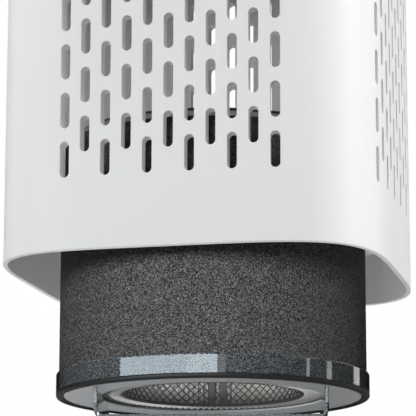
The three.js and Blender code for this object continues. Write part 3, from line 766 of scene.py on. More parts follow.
# A cutter for a rounded rectangular hole through a wall.
def roundedHole(name, place, halfSize, low, high, turn):
    reach = 12 * mm
    outline = roundedOutline(halfSize, (high - low) / 2, 2 * mm, 6)
    hole = turnedBy(slab(name, outline, -reach, reach, 0), math.pi / 2, "X")
    return moved(turnedBy(hole, turn), place[0], place[1], (low + high) / 2)


shell = makeShell()
finishPiece(shell, "housing", "white_shell", "outer_shell")
print("shell made:", len(shell.data.polygons), "faces")


# ---- top cover, grille and controls ----
grilleLow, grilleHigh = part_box("outlet_grille")
openingRadius = grilleHigh.x + 0.3 * mm
panelY = (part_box("display_window")[0].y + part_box("display_window")[1].y) / 2
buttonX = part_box("speed_button")[0].x / 2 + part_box("speed_button")[1].x / 2


def makeCover():
    looks = {"lip": 1.2 * mm, "rounding": 8 * mm, "plate": 3 * mm, "dish": 3.2 * mm, "dishRadius": 98 * mm,
             "buttonHole": 5.8 * mm}
    top = coverHigh.z
    edge = halfWidth - looks["lip"]
    inside = halfWidth - casing["rimWall"] - 0.6 * mm
    seat = shellHigh.z + 0.3 * mm
    rounding = [(edge - looks["rounding"] * (1 - math.cos(math.radians(a))),
                 top - looks["rounding"] * (1 - math.sin(math.radians(a))), 1) for a in range(0, 91, 9)]
    dishEdge = looks["dishRadius"]
    dish = fromSpot(dishEdge, top, (8, 0, 0.7), (0, 0, 0), (-4, -0.5, 0))
    dish += fromSpot(openingRadius, top - looks["dish"], (4, 0.6, 0), (1, 0, 0), (0.2, -0.5, 0), (0, -1.4, 0))
    outline = [(inside - 2 * mm, coverLow.z, 1), (inside, coverLow.z, 1), (inside, seat, 1),
               (edge - 0.4 * mm, seat, 1), (edge, seat + 0.4 * mm, 1)] + rounding + dish
    outline += fromSpot(openingRadius, top, (0, -7, 0), (-3, -7, 0), (-3, -9, 0), (0, -9, 0))
    outline += [(openingRadius, seat - gap, 0), (openingRadius + 2.4 * mm, seat - gap, 0),
                (openingRadius + 2.4 * mm, top - 6 * mm, 0)]
    under = top - looks["plate"]
    outline += [(dishEdge, under - 1 * mm, 0), (dishEdge + 8 * mm, under, 0.7), (inside - 2 * mm, under, 1)]
    cover = revolve("cover", outline, 288, 30)
    holes = []
    for x in (-buttonX, buttonX):
        radius = looks["buttonHole"]
        outline = [(0, top - 12 * mm), (radius, top - 12 * mm), (radius, top + 5 * mm), (0, top + 5 * mm)]
        hole = revolve("hole", outline, 64)
        holes.append(moved(hole, x, panelY, 0))
    low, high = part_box("display_window")
    slot = roundedHole("windowHole", (0, 0), high.x + 0.3 * mm, low.y - 0.3 * mm, high.y + 0.3 * mm, 0)
    slot = turnedBy(moved(slot, z=-(low.y + high.y) / 2), -math.pi / 2, "X")
    holes.append(moved(slot, 0, panelY, top))
    return cutWith(cover, holes, 30)


cover = makeCover()
finishPiece(cover, "housing", "white_shell", "top_cover")


def makeGrille():
    looks = {"vanes": 20, "vaneThickness": 1.8 * mm, "sweep": 0.5, "rings": 5, "ringWidth": 1.3 * mm,
             "hub": 24 * mm, "hubDome": 1.4 * mm, "thickness": 4 * mm, "sunk": 1.2 * mm}
    top = coverHigh.z - looks["sunk"]
    low = top - looks["thickness"]
    hub = looks["hub"]
    outer = grilleHigh.x
    rimLine = [(outer - 3 * mm, grilleLow.z), (outer, grilleLow.z)]
    rimLine += fromSpot(outer, top, (0, -2), (-1.2, -1), (-3, -1))
    pieces = [revolve("grilleRim", softened(rimLine, 0.4 * mm), 192)]
    shoulder = top - looks["hubDome"]
    dome = [(0, low), (hub, low), (hub, shoulder)]
    dome += [(hub - 1.2 * mm * i, shoulder + looks["hubDome"] * math.sin(i / 6 * math.pi / 2))
             for i in range(1, 7)]
    dome += [(hub * 0.55, top - 0.1 * mm), (hub * 0.5, top - 0.6 * mm), (0, top - 0.6 * mm)]
    pieces.append(revolve("grilleHub", dome, 96))
    for i in range(looks["rings"]):
        radius = hub + (outer - hub) * (i + 1) / (looks["rings"] + 1)
        pieces.append(ring("grilleRing", radius - looks["ringWidth"] / 2, radius + looks["ringWidth"] / 2,
                           low + 0.8 * mm, top - 0.6 * mm, 0.3 * mm, 128))
    sections = 14
    section = ((-0.5, low), (0.5, low), (1, low + 1.4 * mm), (0.75, top - 0.7 * mm), (0.25, top - 0.2 * mm),
               (-0.25, top - 0.2 * mm), (-0.75, top - 0.7 * mm), (-1, low + 1.4 * mm))
    for number in range(looks["vanes"]):
        verts = []
        faces = []
        for i in range(sections + 1):
            share = i / sections
            radius = hub - 1 * mm + (outer - 1 * mm - hub) * share
            angle = looks["sweep"] * share * share + 2 * math.pi * number / looks["vanes"]
            half = looks["vaneThickness"] / 2
            for across, z in section:
                turn = angle + across * half / radius
                verts.append((radius * math.cos(turn), radius * math.sin(turn), z))
        for i in range(sections):
            for j in range(8):
                k = (j + 1) % 8
                faces.append((8 * i + j, 8 * i + k, 8 * i + 8 + k, 8 * i + 8 + j))
        faces.append(tuple(range(8))[::-1])
        faces.append(tuple(range(8 * sections, 8 * sections + 8)))
        pieces.append(makeObject("vane", verts, faces, 50))
    return joined("grille", pieces)


finishPiece(makeGrille(), "housing", "grey_plastic", "outlet_grille")


def makeButton(name, x, glyph):
    low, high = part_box(name)
    top = high.z
    outline = fromSpot(0, low.z, (0, 0), (1.6, 0), (1.6, 3))
    outline += fromSpot(0, top, (6.9, -6.6), (6.9, -3.8), (5.5, -3.8), (5.5, -0.6), (5.3, -0.2), (4.9, 0),
                        (4.1, -0.15), (2.5, -0.5), (0, -0.6))
    body = moved(revolve(name + "Cap", outline, 64), x, panelY, 0)
    finishPiece(body, name, "grey_plastic", name)
    mark = moved(glyph(top - 0.42 * mm), x, panelY, 0)
    mark.name = name + "Mark"
    finishPiece(mark, name, "smoked_window")


# A broken circle with a bar: the usual sign for on and off.
def powerGlyph(z):
    outline = []
    for radius, steps in ((2.3 * mm, range(0, 19)), (1.9 * mm, range(18, -1, -1))):
        for i in steps:
            angle = math.radians(125 + i * (290 / 18))
            outline.append((radius * math.cos(angle), radius * math.sin(angle)))
    arc = slab("arc", outline, z - 0.3 * mm, z, 0)
    bar = roundedBox("bar", (-0.2 * mm, 1 * mm, z - 0.3 * mm), (0.2 * mm, 2.6 * mm, z), 0.05 * mm)
    return joined("powerMark", [arc, bar])


# Three bars of growing height, for the fan's speed.
def speedGlyph(z):
    half = 0.35
    bars = [roundedBox("bar", ((x - half) * mm, -1.6 * mm, z - 0.3 * mm), ((x + half) * mm, high * mm, z),
                       0.05 * mm)
            for x, high in ((-1.4, -0.6), (0, 0.5), (1.4, 1.7))]
    return joined("speedMark", bars)


makeButton("power_button", -buttonX, powerGlyph)
makeButton("speed_button", buttonX, speedGlyph)


def makeWindow():
    low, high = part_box("display_window")
    outline = roundedOutline(high.x, (high.y - low.y) / 2, 1.8 * mm, 7)
    return moved(slab("displayLens", outline, low.z, high.z, 0.4 * mm), 0, panelY, 0)


finishPiece(makeWindow(), "housing", "smoked_window", "display_window")
print("cover, grille and controls made")


# ---- fan deck, fan and motor ----
def makeDeck():
    looks = {"bore": 47 * mm, "seatRadius": 98.3 * mm, "collar": 6.5 * mm}
    flangeHalf = deckHigh.x
    seat = deckLow.z + looks["collar"]
    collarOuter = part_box("collar_seal")[0].x * -1 - 2.3 * mm
    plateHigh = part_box("fan_casing")[0].z - gap
    plateLow = plateHigh - casing["deckPlate"]
    bore, seatEdge = looks["bore"], looks["seatRadius"]
    collar = collarOuter - 2.6 * mm
    outline = [(bore, deckLow.z, 0), (collar, deckLow.z, 0), (collar, seat, 0),
               (seatEdge, seat, 0), (seatEdge, plateLow, 0), (seatEdge + 6 * mm, plateLow, 0.6),
               (flangeHalf, plateLow, 1), (flangeHalf, plateHigh, 1), (seatEdge + 6 * mm, plateHigh, 0.6),
               (bore + 3 * mm, plateHigh, 0), (bore + 3 * mm, deckHigh.z, 0), (bore, deckHigh.z, 0)]
    return revolve("deck", softened(outline, 0.6 * mm, 2), 192)


finishPiece(makeDeck(), "housing", "dark_plastic", "fan_deck")


def makeSeal():
    low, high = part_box("collar_seal")
    outer = high.x
    inner = outer - 1.4 * mm
    ribs = fromSpot(outer, low.z, (-1.4, 0), (-0.5, 0), (0, 0.5), (-0.5, 1.2))
    ribs += [(outer, high.z - 0.5 * mm), (outer - 0.5 * mm, high.z), (inner, high.z)]
    return revolve("collarSeal", ribs, 160)


finishPiece(makeSeal(), "housing", "black_rubber", "collar_seal")


def makeFanCasing():
    low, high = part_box("fan_casing")
    looks = {"outer": 88 * mm, "wall": 2.5 * mm, "flange": 3 * mm, "bracketHeight": 5 * mm, "ledge": 8 * mm}
    outer = looks["outer"]
    inner = outer - looks["wall"]
    flange = low.z + looks["flange"]
    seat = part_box("motor_bracket")[1].z - looks["bracketHeight"] - gap
    outline = [(inner, low.z), (high.x, low.z), (high.x, flange), (outer, flange), (outer, high.z),
               (inner, high.z), (inner, seat), (inner - looks["ledge"], seat),
               (inner, seat - 12 * mm + gap)]
    return revolve("fanCasing", softened(outline, 0.5 * mm, 2), 192)


finishPiece(makeFanCasing(), "housing", "dark_plastic", "fan_casing")


def makeBracket():
    low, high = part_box("motor_bracket")
    looks = {"height": 5 * mm, "hub": 34 * mm, "rimInner": 77.5 * mm, "arms": 4, "armHalf": 4 * mm,
             "ribHalf": 1 * mm}
    top = high.z
    bottom = top - looks["height"]
    hub, rimInner, armHalf, ribHalf = looks["hub"], looks["rimInner"], looks["armHalf"], looks["ribHalf"]
    pieces = [ring("bracketRim", rimInner, high.x, bottom, top, 0.6 * mm)]
    dome = [(8.3 * mm, low.z), (10.3 * mm, low.z), (10.3 * mm, bottom), (hub, bottom), (hub, top - 1.5 * mm),
            (hub - 2 * mm, top), (12 * mm, top), (8.3 * mm, top - 1 * mm)]
    pieces.append(revolve("bracketHub", softened(dome, 0.4 * mm, 2), 128))
    for i in range(looks["arms"]):
        arm = roundedBox("arm", (hub - 4 * mm, -armHalf, bottom),
                         (rimInner + 2 * mm, armHalf, top - 1 * mm), 1 * mm)
        rib = roundedBox("rib", (hub - 6 * mm, -ribHalf, bottom + 1 * mm),
                         (rimInner + 2 * mm, ribHalf, top - 0.2 * mm), 0.3 * mm)
        turn = 2 * math.pi * i / looks["arms"]
        pieces += [turnedBy(arm, turn), turnedBy(rib, turn)]
    return joined("bracket", pieces)


finishPiece(makeBracket(), "housing", "dark_plastic", "motor_bracket")


def makeImpeller():
    looks = {"blades": 9, "thickness": 1.8 * mm, "sweep": math.radians(48), "eye": 51.6 * mm,
             "bladeStart": 52 * mm, "bladeInset": 1.5 * mm, "shroud": 2.4 * mm, "bore": 3.3 * mm}
    low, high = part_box("impeller")
    radius = high.x
    hubZ = high.z
    bore = looks["bore"]
    shroud = [(looks["eye"], low.z), (radius - 0.6 * mm, low.z), (radius, low.z + 1 * mm),
              (radius - 0.6 * mm, low.z + looks["shroud"]), (looks["eye"], low.z + looks["shroud"])]
    plate = [(bore, hubZ - 16 * mm)] + fromSpot(0, hubZ, (10, -16), (13, -8), (18, -3.4), (24, -2.6))
    plate += [(radius, hubZ - 2.6 * mm), (radius, hubZ)]
    plate += fromSpot(0, hubZ, (34, 0), (33, -0.8), (31, -0.8), (30.4, 0)) + [(bore, hubZ)]
    pieces = [revolve("shroud", softened(shroud, 0.3 * mm, 2), 160),
              revolve("hubPlate", softened(plate, 0.4 * mm, 2), 160)]
    inner = looks["bladeStart"]
    outer = radius - looks["bladeInset"]
    steps = 16
    for number in range(looks["blades"]):
        verts = []
        faces = []
        for i in range(steps + 1):
            share = i / steps
            half = looks["thickness"] / 2 * (1 - abs(2 * share - 1) ** 4 * 0.6)
            at = inner + (outer - inner) * share
            for side in (-1, 1):
                angle = -looks["sweep"] * share + side * half / at + 2 * math.pi * number / looks["blades"]
                spot = (at + side * half * 0.5)
                verts.append((spot * math.cos(angle), spot * math.sin(angle), low.z + 1.2 * mm))
                verts.append((spot * math.cos(angle), spot * math.sin(angle), hubZ - 1.2 * mm))
        for i in range(steps):
            a = 4 * i
            faces += [(a, a + 1, a + 5, a + 4), (a + 3, a + 2, a + 6, a + 7), (a, a + 4, a + 6, a + 2),
                      (a + 1, a + 3, a + 7, a + 5)]
        faces += [(0, 2, 3, 1), (4 * steps, 4 * steps + 1, 4 * steps + 3, 4 * steps + 2)]
        pieces.append(makeObject("blade", verts, faces, 50))
    return joined("fanWheel", pieces)


finishPiece(makeImpeller(), "fan_rotor", "impeller_plastic", "impeller")


def makeRotor():
    low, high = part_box("motor_rotor")
    outer = high.x
    looks = {"bore": 3.3 * mm, "wall": 2 * mm, "floor": 2.4 * mm}
    bore, inner, floor = looks["bore"], outer - looks["wall"], low.z + looks["floor"]
    outline = [(bore, low.z), (outer - 1 * mm, low.z), (outer, low.z + 1 * mm), (outer, high.z),
               (inner, high.z), (inner, floor), (bore, floor)]
    return revolve("rotorCan", softened(outline, 0.3 * mm, 2), 96)


finishPiece(makeRotor(), "fan_rotor", "steel", "motor_rotor")
print("fan and motor made")


# ---- cartridge ----
beadLow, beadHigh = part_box("bead_ring")
skirtLow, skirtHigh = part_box("clear_skirt")
plateLow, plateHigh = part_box("bottom_plate")
carbonLow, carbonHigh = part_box("carbon_bed")
windowLow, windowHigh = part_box("bottom_window")


def makeCarbon():
    looks = {"roughness": 0.1 * mm, "turns": 420, "levels": 150, "wall": 24.6 * mm}
    radius = carbonHigh.x
    inner = radius - looks["wall"]
    verts = []
    turns, levels = looks["turns"], looks["levels"]
    for level in range(levels + 1):
        z = carbonLow.z + (carbonHigh.z - carbonLow.z) * level / levels
        for turn in range(turns):
            angle = 2 * math.pi * turn / turns
            spot = Vector((radius * math.cos(angle), radius * math.sin(angle), z))
            grit = noise.noise(spot * 520) * 0.7 + noise.noise(spot * 1100) * 0.5
            depth = looks["roughness"] * min(1, max(0, 0.5 + grit))
            at = radius - depth
            verts.append((at * math.cos(angle), at * math.sin(angle), z))
    for z in (carbonHigh.z, carbonLow.z):
        for turn in range(turns):
            angle = 2 * math.pi * turn / turns
            verts.append((inner * math.cos(angle), inner * math.sin(angle), z))
    return makeObject("carbonSleeve", verts, loopFaces(list(range(levels + 3)), turns), 70)


carbonSleeve = finishPiece(makeCarbon(), "filter_cartridge", "carbon_granules", "carbon_bed", flats=False)


def makeBead():
    outer = beadHigh.x
    outline = [(outer - 4.8 * mm, beadHigh.z)]
    outline += fromSpot(outer, beadLow.z, (-4.8, 0.9), (-3.8, 0.1), (-2.6, 0), (-1.6, 0), (-0.5, 0.4),
                        (0, 1.2))
    outline.append((outer, beadHigh.z))
    return revolve("bead", softened(outline, 0.3 * mm, 2), 256)


finishPiece(makeBead(), "filter_cartridge", "black_rubber", "bead_ring")


def makeSkirt():
    outer = skirtHigh.x
    inner = carbonHigh.x + 0.3 * mm
    outline = [(inner, skirtLow.z), (outer, skirtLow.z), (outer, skirtHigh.z - 1 * mm),
               (outer - 0.9 * mm, skirtHigh.z), (inner, skirtHigh.z)]
    return revolve("skirt", softened(outline, 0.25 * mm, 3), 256)


finishPiece(makeSkirt(), "filter_cartridge", "clear_plastic", "clear_skirt")


endPlate = ring("plate", windowHigh.x + gap, plateHigh.x, plateLow.z, plateHigh.z, 0.5 * mm, 256)
# The bottom plate takes the lighter copy of grey plastic, as painted light for the shade under the cartridge.
finishPiece(endPlate, "filter_cartridge", "grey_plastic", "bottom_plate", finish="plate_plastic_painted_light")
window = ring("endWindow", 0, windowHigh.x, windowLow.z, windowHigh.z, 0.3 * mm, steps=2)
finishPiece(window, "filter_cartridge", "clear_plastic", "bottom_window", finish="clear_film")


def makePleats():
    looks = {"pleats": 108, "paper": 0.75 * mm, "perPleat": 12, "levels": 9}
    low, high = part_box("pleated_media")
    outer = high.x - 0.1 * mm - looks["paper"] / 2
    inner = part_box("core_tube")[1].x + 0.5 * mm + looks["paper"] / 2
    turns = looks["pleats"] * looks["perPleat"]
    heights = [low.z + (high.z - low.z) * i / looks["levels"] for i in range(looks["levels"] + 1)]
    rows = []
    for z in heights:
        path = []
        for turn in range(turns):
            phase = (turn % looks["perPleat"]) / looks["perPleat"]
            wave = 0.5 - 0.5 * math.cos(2 * math.pi * phase)
            sway = 0.4 * mm * noise.noise(Vector((turn // looks["perPleat"], z * 40, 3)))
            radius = inner + (outer - inner) * wave
            angle = 2 * math.pi * turn / turns + sway / radius
            path.append(Vector((radius * math.cos(angle), radius * math.sin(angle), z)))
        rows.append(path)
    verts = []
    for side in (-1, 1):
        for path in rows:
            for turn, spot in enumerate(path):
                along = (path[(turn + 1) % turns] - path[turn - 1]).normalized()
                verts.append(spot + Vector((along.y, -along.x, 0)) * side * looks["paper"] / 2)
    count = len(heights)
    order = list(range(count)) + list(range(2 * count - 1, count - 1, -1))
    return makeObject("pleats", verts, loopFaces(order, turns), 60)


pleats = finishPiece(makePleats(), "filter_cartridge", "filter_paper", "pleated_media", flats=False)


def makePotting():
    looks = {"lift": 1.1 * mm, "inset": 0.2 * mm, "width": 1.3 * mm, "height": 1.6 * mm}
    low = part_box("pleated_media")[0].z + looks["lift"]
    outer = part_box("pleated_media")[1].x - looks["inset"]
    return ring("potting", outer - looks["width"], outer, low, low + looks["height"], 0.3 * mm)


potting = finishPiece(makePotting(), "filter_cartridge", "dark_mesh", finish="black_rubber")


# A tube of crossed strands, as moulded netting.
def makeNetting(name, node, around, along, strand):
    low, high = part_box(node)
    radius = high.x - strand / 2 - 0.2 * mm
    verts = []
    faces = []
    for level in range(along + 1):
        z = low.z + strand / 2 + (high.z - low.z - strand) * level / along
        for turn in range(around):
            angle = 2 * math.pi * (turn + 0.5 * (level % 2)) / around
            verts.append((radius * math.cos(angle), radius * math.sin(angle), z))
    for level in range(0, along - 1):
        for turn in range(around):
            right = (turn + (level % 2)) % around
            left = (right - 1) % around
            faces.append((level * around + turn, (level + 1) * around + right, (level + 2) * around + turn,
                          (level + 1) * around + left))
    net = makeObject(name, verts, faces)
    wires = net.modifiers.new("wires", "WIREFRAME")
    wires.thickness = strand
    wires.use_even_offset = False
    applyModifiers(net, 50)
    tall = 2 * mm
    rims = [ring(name + "Rim", high.x - 1.4 * mm, high.x, z, z + tall, 0.2 * mm, 128)
            for z in (low.z, high.z - tall)]
    return joined(name, [net] + rims)


def makeCore():
    looks = {"ribWidth": 4 * mm, "pairs": 4, "first": 5.5, "apart": 8.2}  # angles in degrees
    low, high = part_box("core_tube")
    pieces = [makeNetting("coreNet", "core_tube", 64, 64, 1.1 * mm)]
    half = looks["ribWidth"] / 2
    for pair in (1, 0, 2, 3):
        for apart in (looks["apart"], 0):
            rib = roundedBox("rib", (high.x - 1.35 * mm, -half, low.z + 0.1 * mm),
                             (high.x - 0.15 * mm, half, high.z - 0.1 * mm), 0.2 * mm)
            angle = looks["first"] + apart + 360 * pair / looks["pairs"]
            pieces.append(turnedBy(rib, math.radians(angle)))
    return joined("coreTube", pieces)


coreTube = finishPiece(makeCore(), "filter_cartridge", "dark_mesh", "core_tube")
finishPiece(makeNetting("bedNet", "bed_tube", 72, 56, 1.1 * mm), "filter_cartridge", "dark_mesh", "bed_tube")


def makeTopRing():
    low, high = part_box("top_ring")
    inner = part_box("core_tube")[1].x - 1.4 * mm
    outline = [(inner, low.z), (high.x, low.z), (high.x, high.z - 0.8 * mm), (high.x - 0.8 * mm, high.z),
               (inner, high.z)]
    return revolve("topRing", softened(outline, 0.3 * mm, 2), 256)


finishPiece(makeTopRing(), "filter_cartridge", "grey_plastic", "top_ring")


gasketLow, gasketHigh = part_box("top_gasket")
gasket = ring("gasket", gasketHigh.x - 18.6 * mm, gasketHigh.x, gasketLow.z, gasketHigh.z, 1.2 * mm, steps=4)
finishPiece(gasket, "filter_cartridge", "black_rubber", "top_gasket")


def makeHandle():
    looks = {"width": 143 * mm, "depth": 118 * mm, "strap": 2.4 * mm, "corner": 6 * mm}
    low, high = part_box("pull_handle")
    half = looks["width"] / 2
    bottom = low.z
    top = high.z

    def bend(radius, side):
        points = []
        for i in range(9):
            angle = math.radians(i * 90 / 8)
            x = half - looks["corner"] + radius * math.cos(angle)
            points.append((side * x, bottom + looks["corner"] - radius * math.sin(angle)))
        return points

    inner = looks["corner"] - looks["strap"]
    outline = [(half, top)] + bend(looks["corner"], 1) + bend(looks["corner"], -1)[::-1] + [(-half, top)]
    legInner = half - looks["strap"]
    outline += [(-legInner, top)] + bend(inner, -1) + bend(inner, 1)[::-1] + [(legInner, top)]
    strap = slab("handle", outline, -looks["depth"] / 2, looks["depth"] / 2, 0.5 * mm)
    return turnedBy(turnedBy(strap, math.pi / 2, "X"), cartridgeTurn)


finishPiece(makeHandle(), "filter_cartridge", "clear_plastic", "pull_handle")
print("cartridge made")


# ---- fasteners and small parts ----
def makeScrew(name):
    low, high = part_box(name)
    upright = not name.startswith("board")
    top = high.z if upright else low.z
    way = 1 if upright else -1
    head = high.x / 2 - low.x / 2
    depth = (high.z - low.z) * way
    head /= mm
    outline = [(0, -1.2, 0, 0), (1, -1.2, 0, 0.22), (1.35, -0.1, 0, 0.2), (1.8, 0, 0, 0),
               (head - 0.7, -0.3, 0, 0), (head - 0.15, -1, 0, 0), (head, -1.6, 0, 0),
               (head, -2.2, 0, 0), (1.6, -2.2, 0, 0)]
    outline = fromSpot(0, top, *((x, z * way, *more) for x, z, *more in outline))
    threads = 8
    start = top - 2.2 * mm * way
    for i in range(threads * 2):
        z = start + (top - depth + 0.6 * mm * way - start) * (i + 1) / (threads * 2)
        outline.append(((1.6 if i % 2 else 1.25) * mm, z, 0, 0))
    outline += [(0.8 * mm, top - depth + 0.1 * mm * way, 0, 0), (0, top - depth, 0, 0)]
    screw = revolve(name + "Fine", outline, 48, 40)
    return moved(screw, (low.x + high.x) / 2, (low.y + high.y) / 2, 0)


for node in frame["nodes"]:
    if "_screw_" in node:
        finishPiece(makeScrew(node), "housing", "steel", node)


def makeInletPins():
    low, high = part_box("power_inlet")
    middle = (low.z + high.z) / 2
    pins = []
    radius, tip = inlet["pinRadius"], inlet["pinLength"]
    for x in (-inlet["pinApart"] / 2, inlet["pinApart"] / 2):
        outline = [(0, 0), (radius, 0), (radius, tip - 1.2 * mm), (radius - 0.5 * mm, tip - 0.2 * mm),
                   (0, tip)]
        pin = turnedBy(revolve("pin", outline, 32), -math.pi / 2, "X")
        pins.append(moved(pin, x, high.y - inlet["pinDepth"], middle))
    return joined("inletPins", pins)


def makeInletBody():
    low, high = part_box("power_inlet")
    face = high.y
    bottom, top = low.z + inlet["lip"], high.z - inlet["lip"]
    half = inlet["noseHalf"]
    nose = roundedBox("nose", (-half, face - inlet["noseDepth"], bottom), (half, face, top),
                      inlet["noseRounding"])
    half, back = inlet["flangeHalf"], inlet["flangeBack"]
    flange = roundedBox("flange", (-half, back - inlet["flangeDepth"], low.z), (half, back, high.z), 0.5 * mm)
    inset = inlet["socketInset"]
    hole = roundedHole("socket", (0, face), inlet["socketHalf"], bottom + inset, top - inset, 0)
    inset = inlet["pocketInset"]
    pocket = roundedHole("pocket", (0, face + inlet["pocketOut"]), inlet["pocketHalf"], bottom + inset,
                         top - inset, 0)
    nose = cutWith(nose, [hole, pocket])
    return joined("inletBody", [nose, flange])


finishPiece(makeInletPins(), "housing", "steel")
finishPiece(makeInletBody(), "housing", "dark_plastic", "power_inlet")

dressed = 0
for entry in frame["record"]["subparts"]:
    node = frame["nodes"][entry["node"]]
    if node.hide_render:
        continue
    node.data.materials.clear()
    node.data.materials.append(materials[entry["material_slot"]])
    dressed += 1
print("small parts made;", dressed, "packed nodes keep their shape")


# ---- floor, lights and camera ----
# The floor is clear from below, because the view looks up past its edge.
def makeFloor():
    looks = {"half": 9, "colour": (0.9, 0.9, 0.9), "patches": (0.8, 0.8, 0.8), "roughness": 0.85,
             "drop": 0.4 * mm}
    half = looks["half"]
    floor = makeObject("floor", [(-half, -half, 0), (half, -half, 0), (half, half, 0), (-half, half, 0)],
                       [(0, 1, 2, 3)])
    floor.location.z = -looks["drop"]
    material, tree, shader = newMaterial("paleFloor")
    pale = mixColour(tree, noiseNode(tree, 3, 3), looks["colour"], looks["patches"])
    tree.links.new(pale, shader.inputs["Base Color"])
    shader.inputs["Roughness"].default_value = looks["roughness"]
    side = tree.nodes.new("ShaderNodeNewGeometry")
    through = tree.nodes.new("ShaderNodeBsdfTransparent")
    showMix(tree, side.outputs["Backfacing"], shader.outputs["BSDF"], through.outputs["BSDF"])
    floor.data.materials.append(material)


def softbox(name, look):
    light = bpy.data.lights.new(name, "AREA")
    light.shape = "RECTANGLE"
    light.size, light.size_y = look["size"]
    light.energy = look["power"]
    light.color = look.get("colour", (1, 1, 1))
    lamp = bpy.data.objects.new(name, light)
    bpy.context.scene.collection.objects.link(lamp)
    turn = math.radians(look["turn"])
    rise = math.radians(look["rise"])
    aim = Vector((0, 0, look.get("aim", 0.2)))
    away = Vector((math.sin(turn) * math.cos(rise), -math.cos(turn) * math.cos(rise), math.sin(rise)))
    lamp.location = aim + away * look["distance"]
    lamp.rotation_euler = (-away).to_track_quat("-Z", "Y").to_euler()
    lamp.visible_camera = False
    lamp.visible_diffuse = not look.get("onlyGloss")
    lamp.visible_glossy = bool(look.get("onlyGloss"))
    if look.get("reaches"):
        lamp.light_linking.receiver_collection = reachedPieces[look["reaches"]]
    if look.get("stoppedBy"):
        lamp.light_linking.blocker_collection = reachedPieces[look["stoppedBy"]]
    return lamp


# Some lights reach only some of the pieces.
reachedPieces = {}
groups = {"casing": (shell, cover), "bed": (carbonSleeve,), "foot": (pleats, coreTube, potting, endPlate)}
for group, members in groups.items():
    reachedPieces[group] = bpy.data.collections.new(group)
    for piece in members:
        reachedPieces[group].objects.link(piece)

# Turns are degrees round from the front towards the right, rises are degrees above level.
lights = {
    "frontBox": {"turn": 8, "rise": 4, "distance": 2.4, "size": (1.2, 1), "power": 8.6},
    "highBox": {"turn": 4, "rise": 50, "distance": 1, "size": (1, 0.6), "power": 4.6, "aim": 0.52},
    "leftBox": {"turn": -90, "rise": 22, "distance": 2, "size": (1, 1), "power": 27, "aim": 0.32,
                "reaches": "casing"},
    "sideBox": {"turn": 95, "rise": 20, "distance": 2, "size": (1, 1), "power": 38, "aim": 0.34,
                "reaches": "casing"},
    "bedBox": {"turn": -2, "rise": 6, "distance": 2, "size": (0.6, 0.6), "power": 104, "aim": 0.06,
               "reaches": "bed"},
    "insideGlow": {"turn": 0, "rise": 90, "distance": 0.02, "size": (0.13, 0.13), "power": 0.03,
                   "aim": 0.295},
    "wallGlow": {"turn": 0, "rise": -90, "distance": 0.02, "size": (0.2, 0.2), "power": 0.22, "aim": 0.03,
                 "reaches": "casing", "stoppedBy": "casing"},
    "rimGlow": {"turn": -65, "rise": -25, "distance": 0.1, "size": (0.08, 0.08), "power": 0.16, "aim": 0.05,
                "reaches": "casing", "stoppedBy": "casing"},
    "coreGlow": {"turn": 0, "rise": -90, "distance": 0.01, "size": (0.06, 0.06), "power": 0.2, "aim": 0.036,
                 "reaches": "foot", "stoppedBy": "foot"},
    "footGlow": {"turn": -60, "rise": -20, "distance": 1, "size": (0.1, 0.1), "power": 10, "aim": 0.012,
                 "reaches": "foot", "stoppedBy": "foot"},
    "blueBox": {"turn": -20, "rise": 10, "distance": 1.6, "size": (2.3, 0.5), "power": 20,
                "colour": (0.78, 0.9, 1), "onlyGloss": True, "aim": 0.03},
}
# Tall strips that only show as reflections: (turn, width, power).
for name, turn, width, power in (("stripNear", 84, 0.07, 0.5), ("stripFar", 104, 0.14, 0.9),
                                 ("stripBack", 140, 0.27, 1.2)):
    lights[name] = {"turn": turn, "rise": 12, "distance": 1.5, "size": (width, 0.9), "power": power,
                    "onlyGloss": True}
for name, look in lights.items():
    softbox(name, look)
makeFloor()


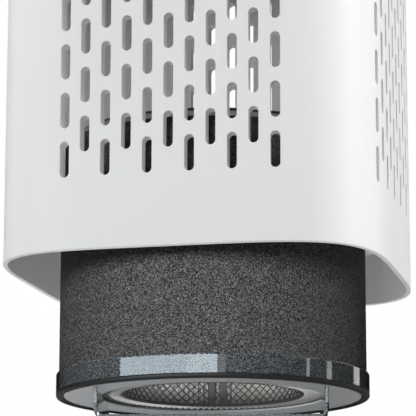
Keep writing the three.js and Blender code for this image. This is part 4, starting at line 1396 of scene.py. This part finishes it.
# White behind the object, and a softer light that comes mostly from the front and left.
def makeWorld():
    look = {"from": (-0.35, -0.7, 0.6), "least": 0.05, "most": 0.5, "darkEnd": -0.2, "lightEnd": 0.9,
            "inGloss": 0.2, "colour": (1, 0.995, 0.99), "clearDepth": 2.5}
    world = bpy.data.worlds.new("studio")
    world.use_nodes = True
    tree = world.node_tree
    seen = tree.nodes["Background"]
    seen.inputs["Color"].default_value = (1, 1, 1, 1)
    seen.inputs["Strength"].default_value = 1
    place = tree.nodes.new("ShaderNodeTexCoord")
    facing = tree.nodes.new("ShaderNodeVectorMath")
    facing.operation = "DOT_PRODUCT"
    tree.links.new(place.outputs["Generated"], facing.inputs[0])
    facing.inputs[1].default_value = look["from"]
    spread = tree.nodes.new("ShaderNodeMapRange")
    spread.inputs["From Min"].default_value = look["darkEnd"]
    spread.inputs["From Max"].default_value = look["lightEnd"]
    spread.inputs["To Min"].default_value = look["least"]
    spread.inputs["To Max"].default_value = look["most"]
    tree.links.new(facing.outputs["Value"], spread.inputs["Value"])
    rays = tree.nodes.new("ShaderNodeLightPath")
    less = mathNode(tree, "MULTIPLY", rays.outputs["Is Glossy Ray"], 1 - look["inGloss"])
    share = mathNode(tree, "SUBTRACT", 1, less)
    lit = tree.nodes.new("ShaderNodeBackground")
    lit.inputs["Color"].default_value = (*look["colour"], 1)
    tree.links.new(mathNode(tree, "MULTIPLY", spread.outputs["Result"], share), lit.inputs["Strength"])
    early = mathNode(tree, "LESS_THAN", rays.outputs["Ray Depth"], look["clearDepth"])
    through = mathNode(tree, "MULTIPLY", rays.outputs["Is Transmission Ray"], early)
    clear = mathNode(tree, "MAXIMUM", rays.outputs["Is Camera Ray"], through)
    showMix(tree, clear, lit.outputs[0], seen.outputs[0], "World Output")
    bpy.context.scene.world = world


makeWorld()


def makeCamera():
    look = {"place": (0.3352, -1.45, -0.2727), "heading": 12.69, "pitch": 12.15, "lens": 204.9,
            "shift": -0.044}
    camera = bpy.data.cameras.new("camera")
    camera.lens = look["lens"]
    camera.sensor_width = 36
    camera.shift_x = look["shift"]
    camera.clip_start = 0.05
    eye = bpy.data.objects.new("camera", camera)
    bpy.context.scene.collection.objects.link(eye)
    eye.location = Vector(look["place"]) + Vector((0, 0, rim))
    eye.rotation_euler = (math.radians(90 + look["pitch"]), 0, math.radians(look["heading"]))
    bpy.context.scene.camera = eye


makeCamera()
bpy.context.scene.view_settings.view_transform = "Standard"
print("stage, lights and camera ready")
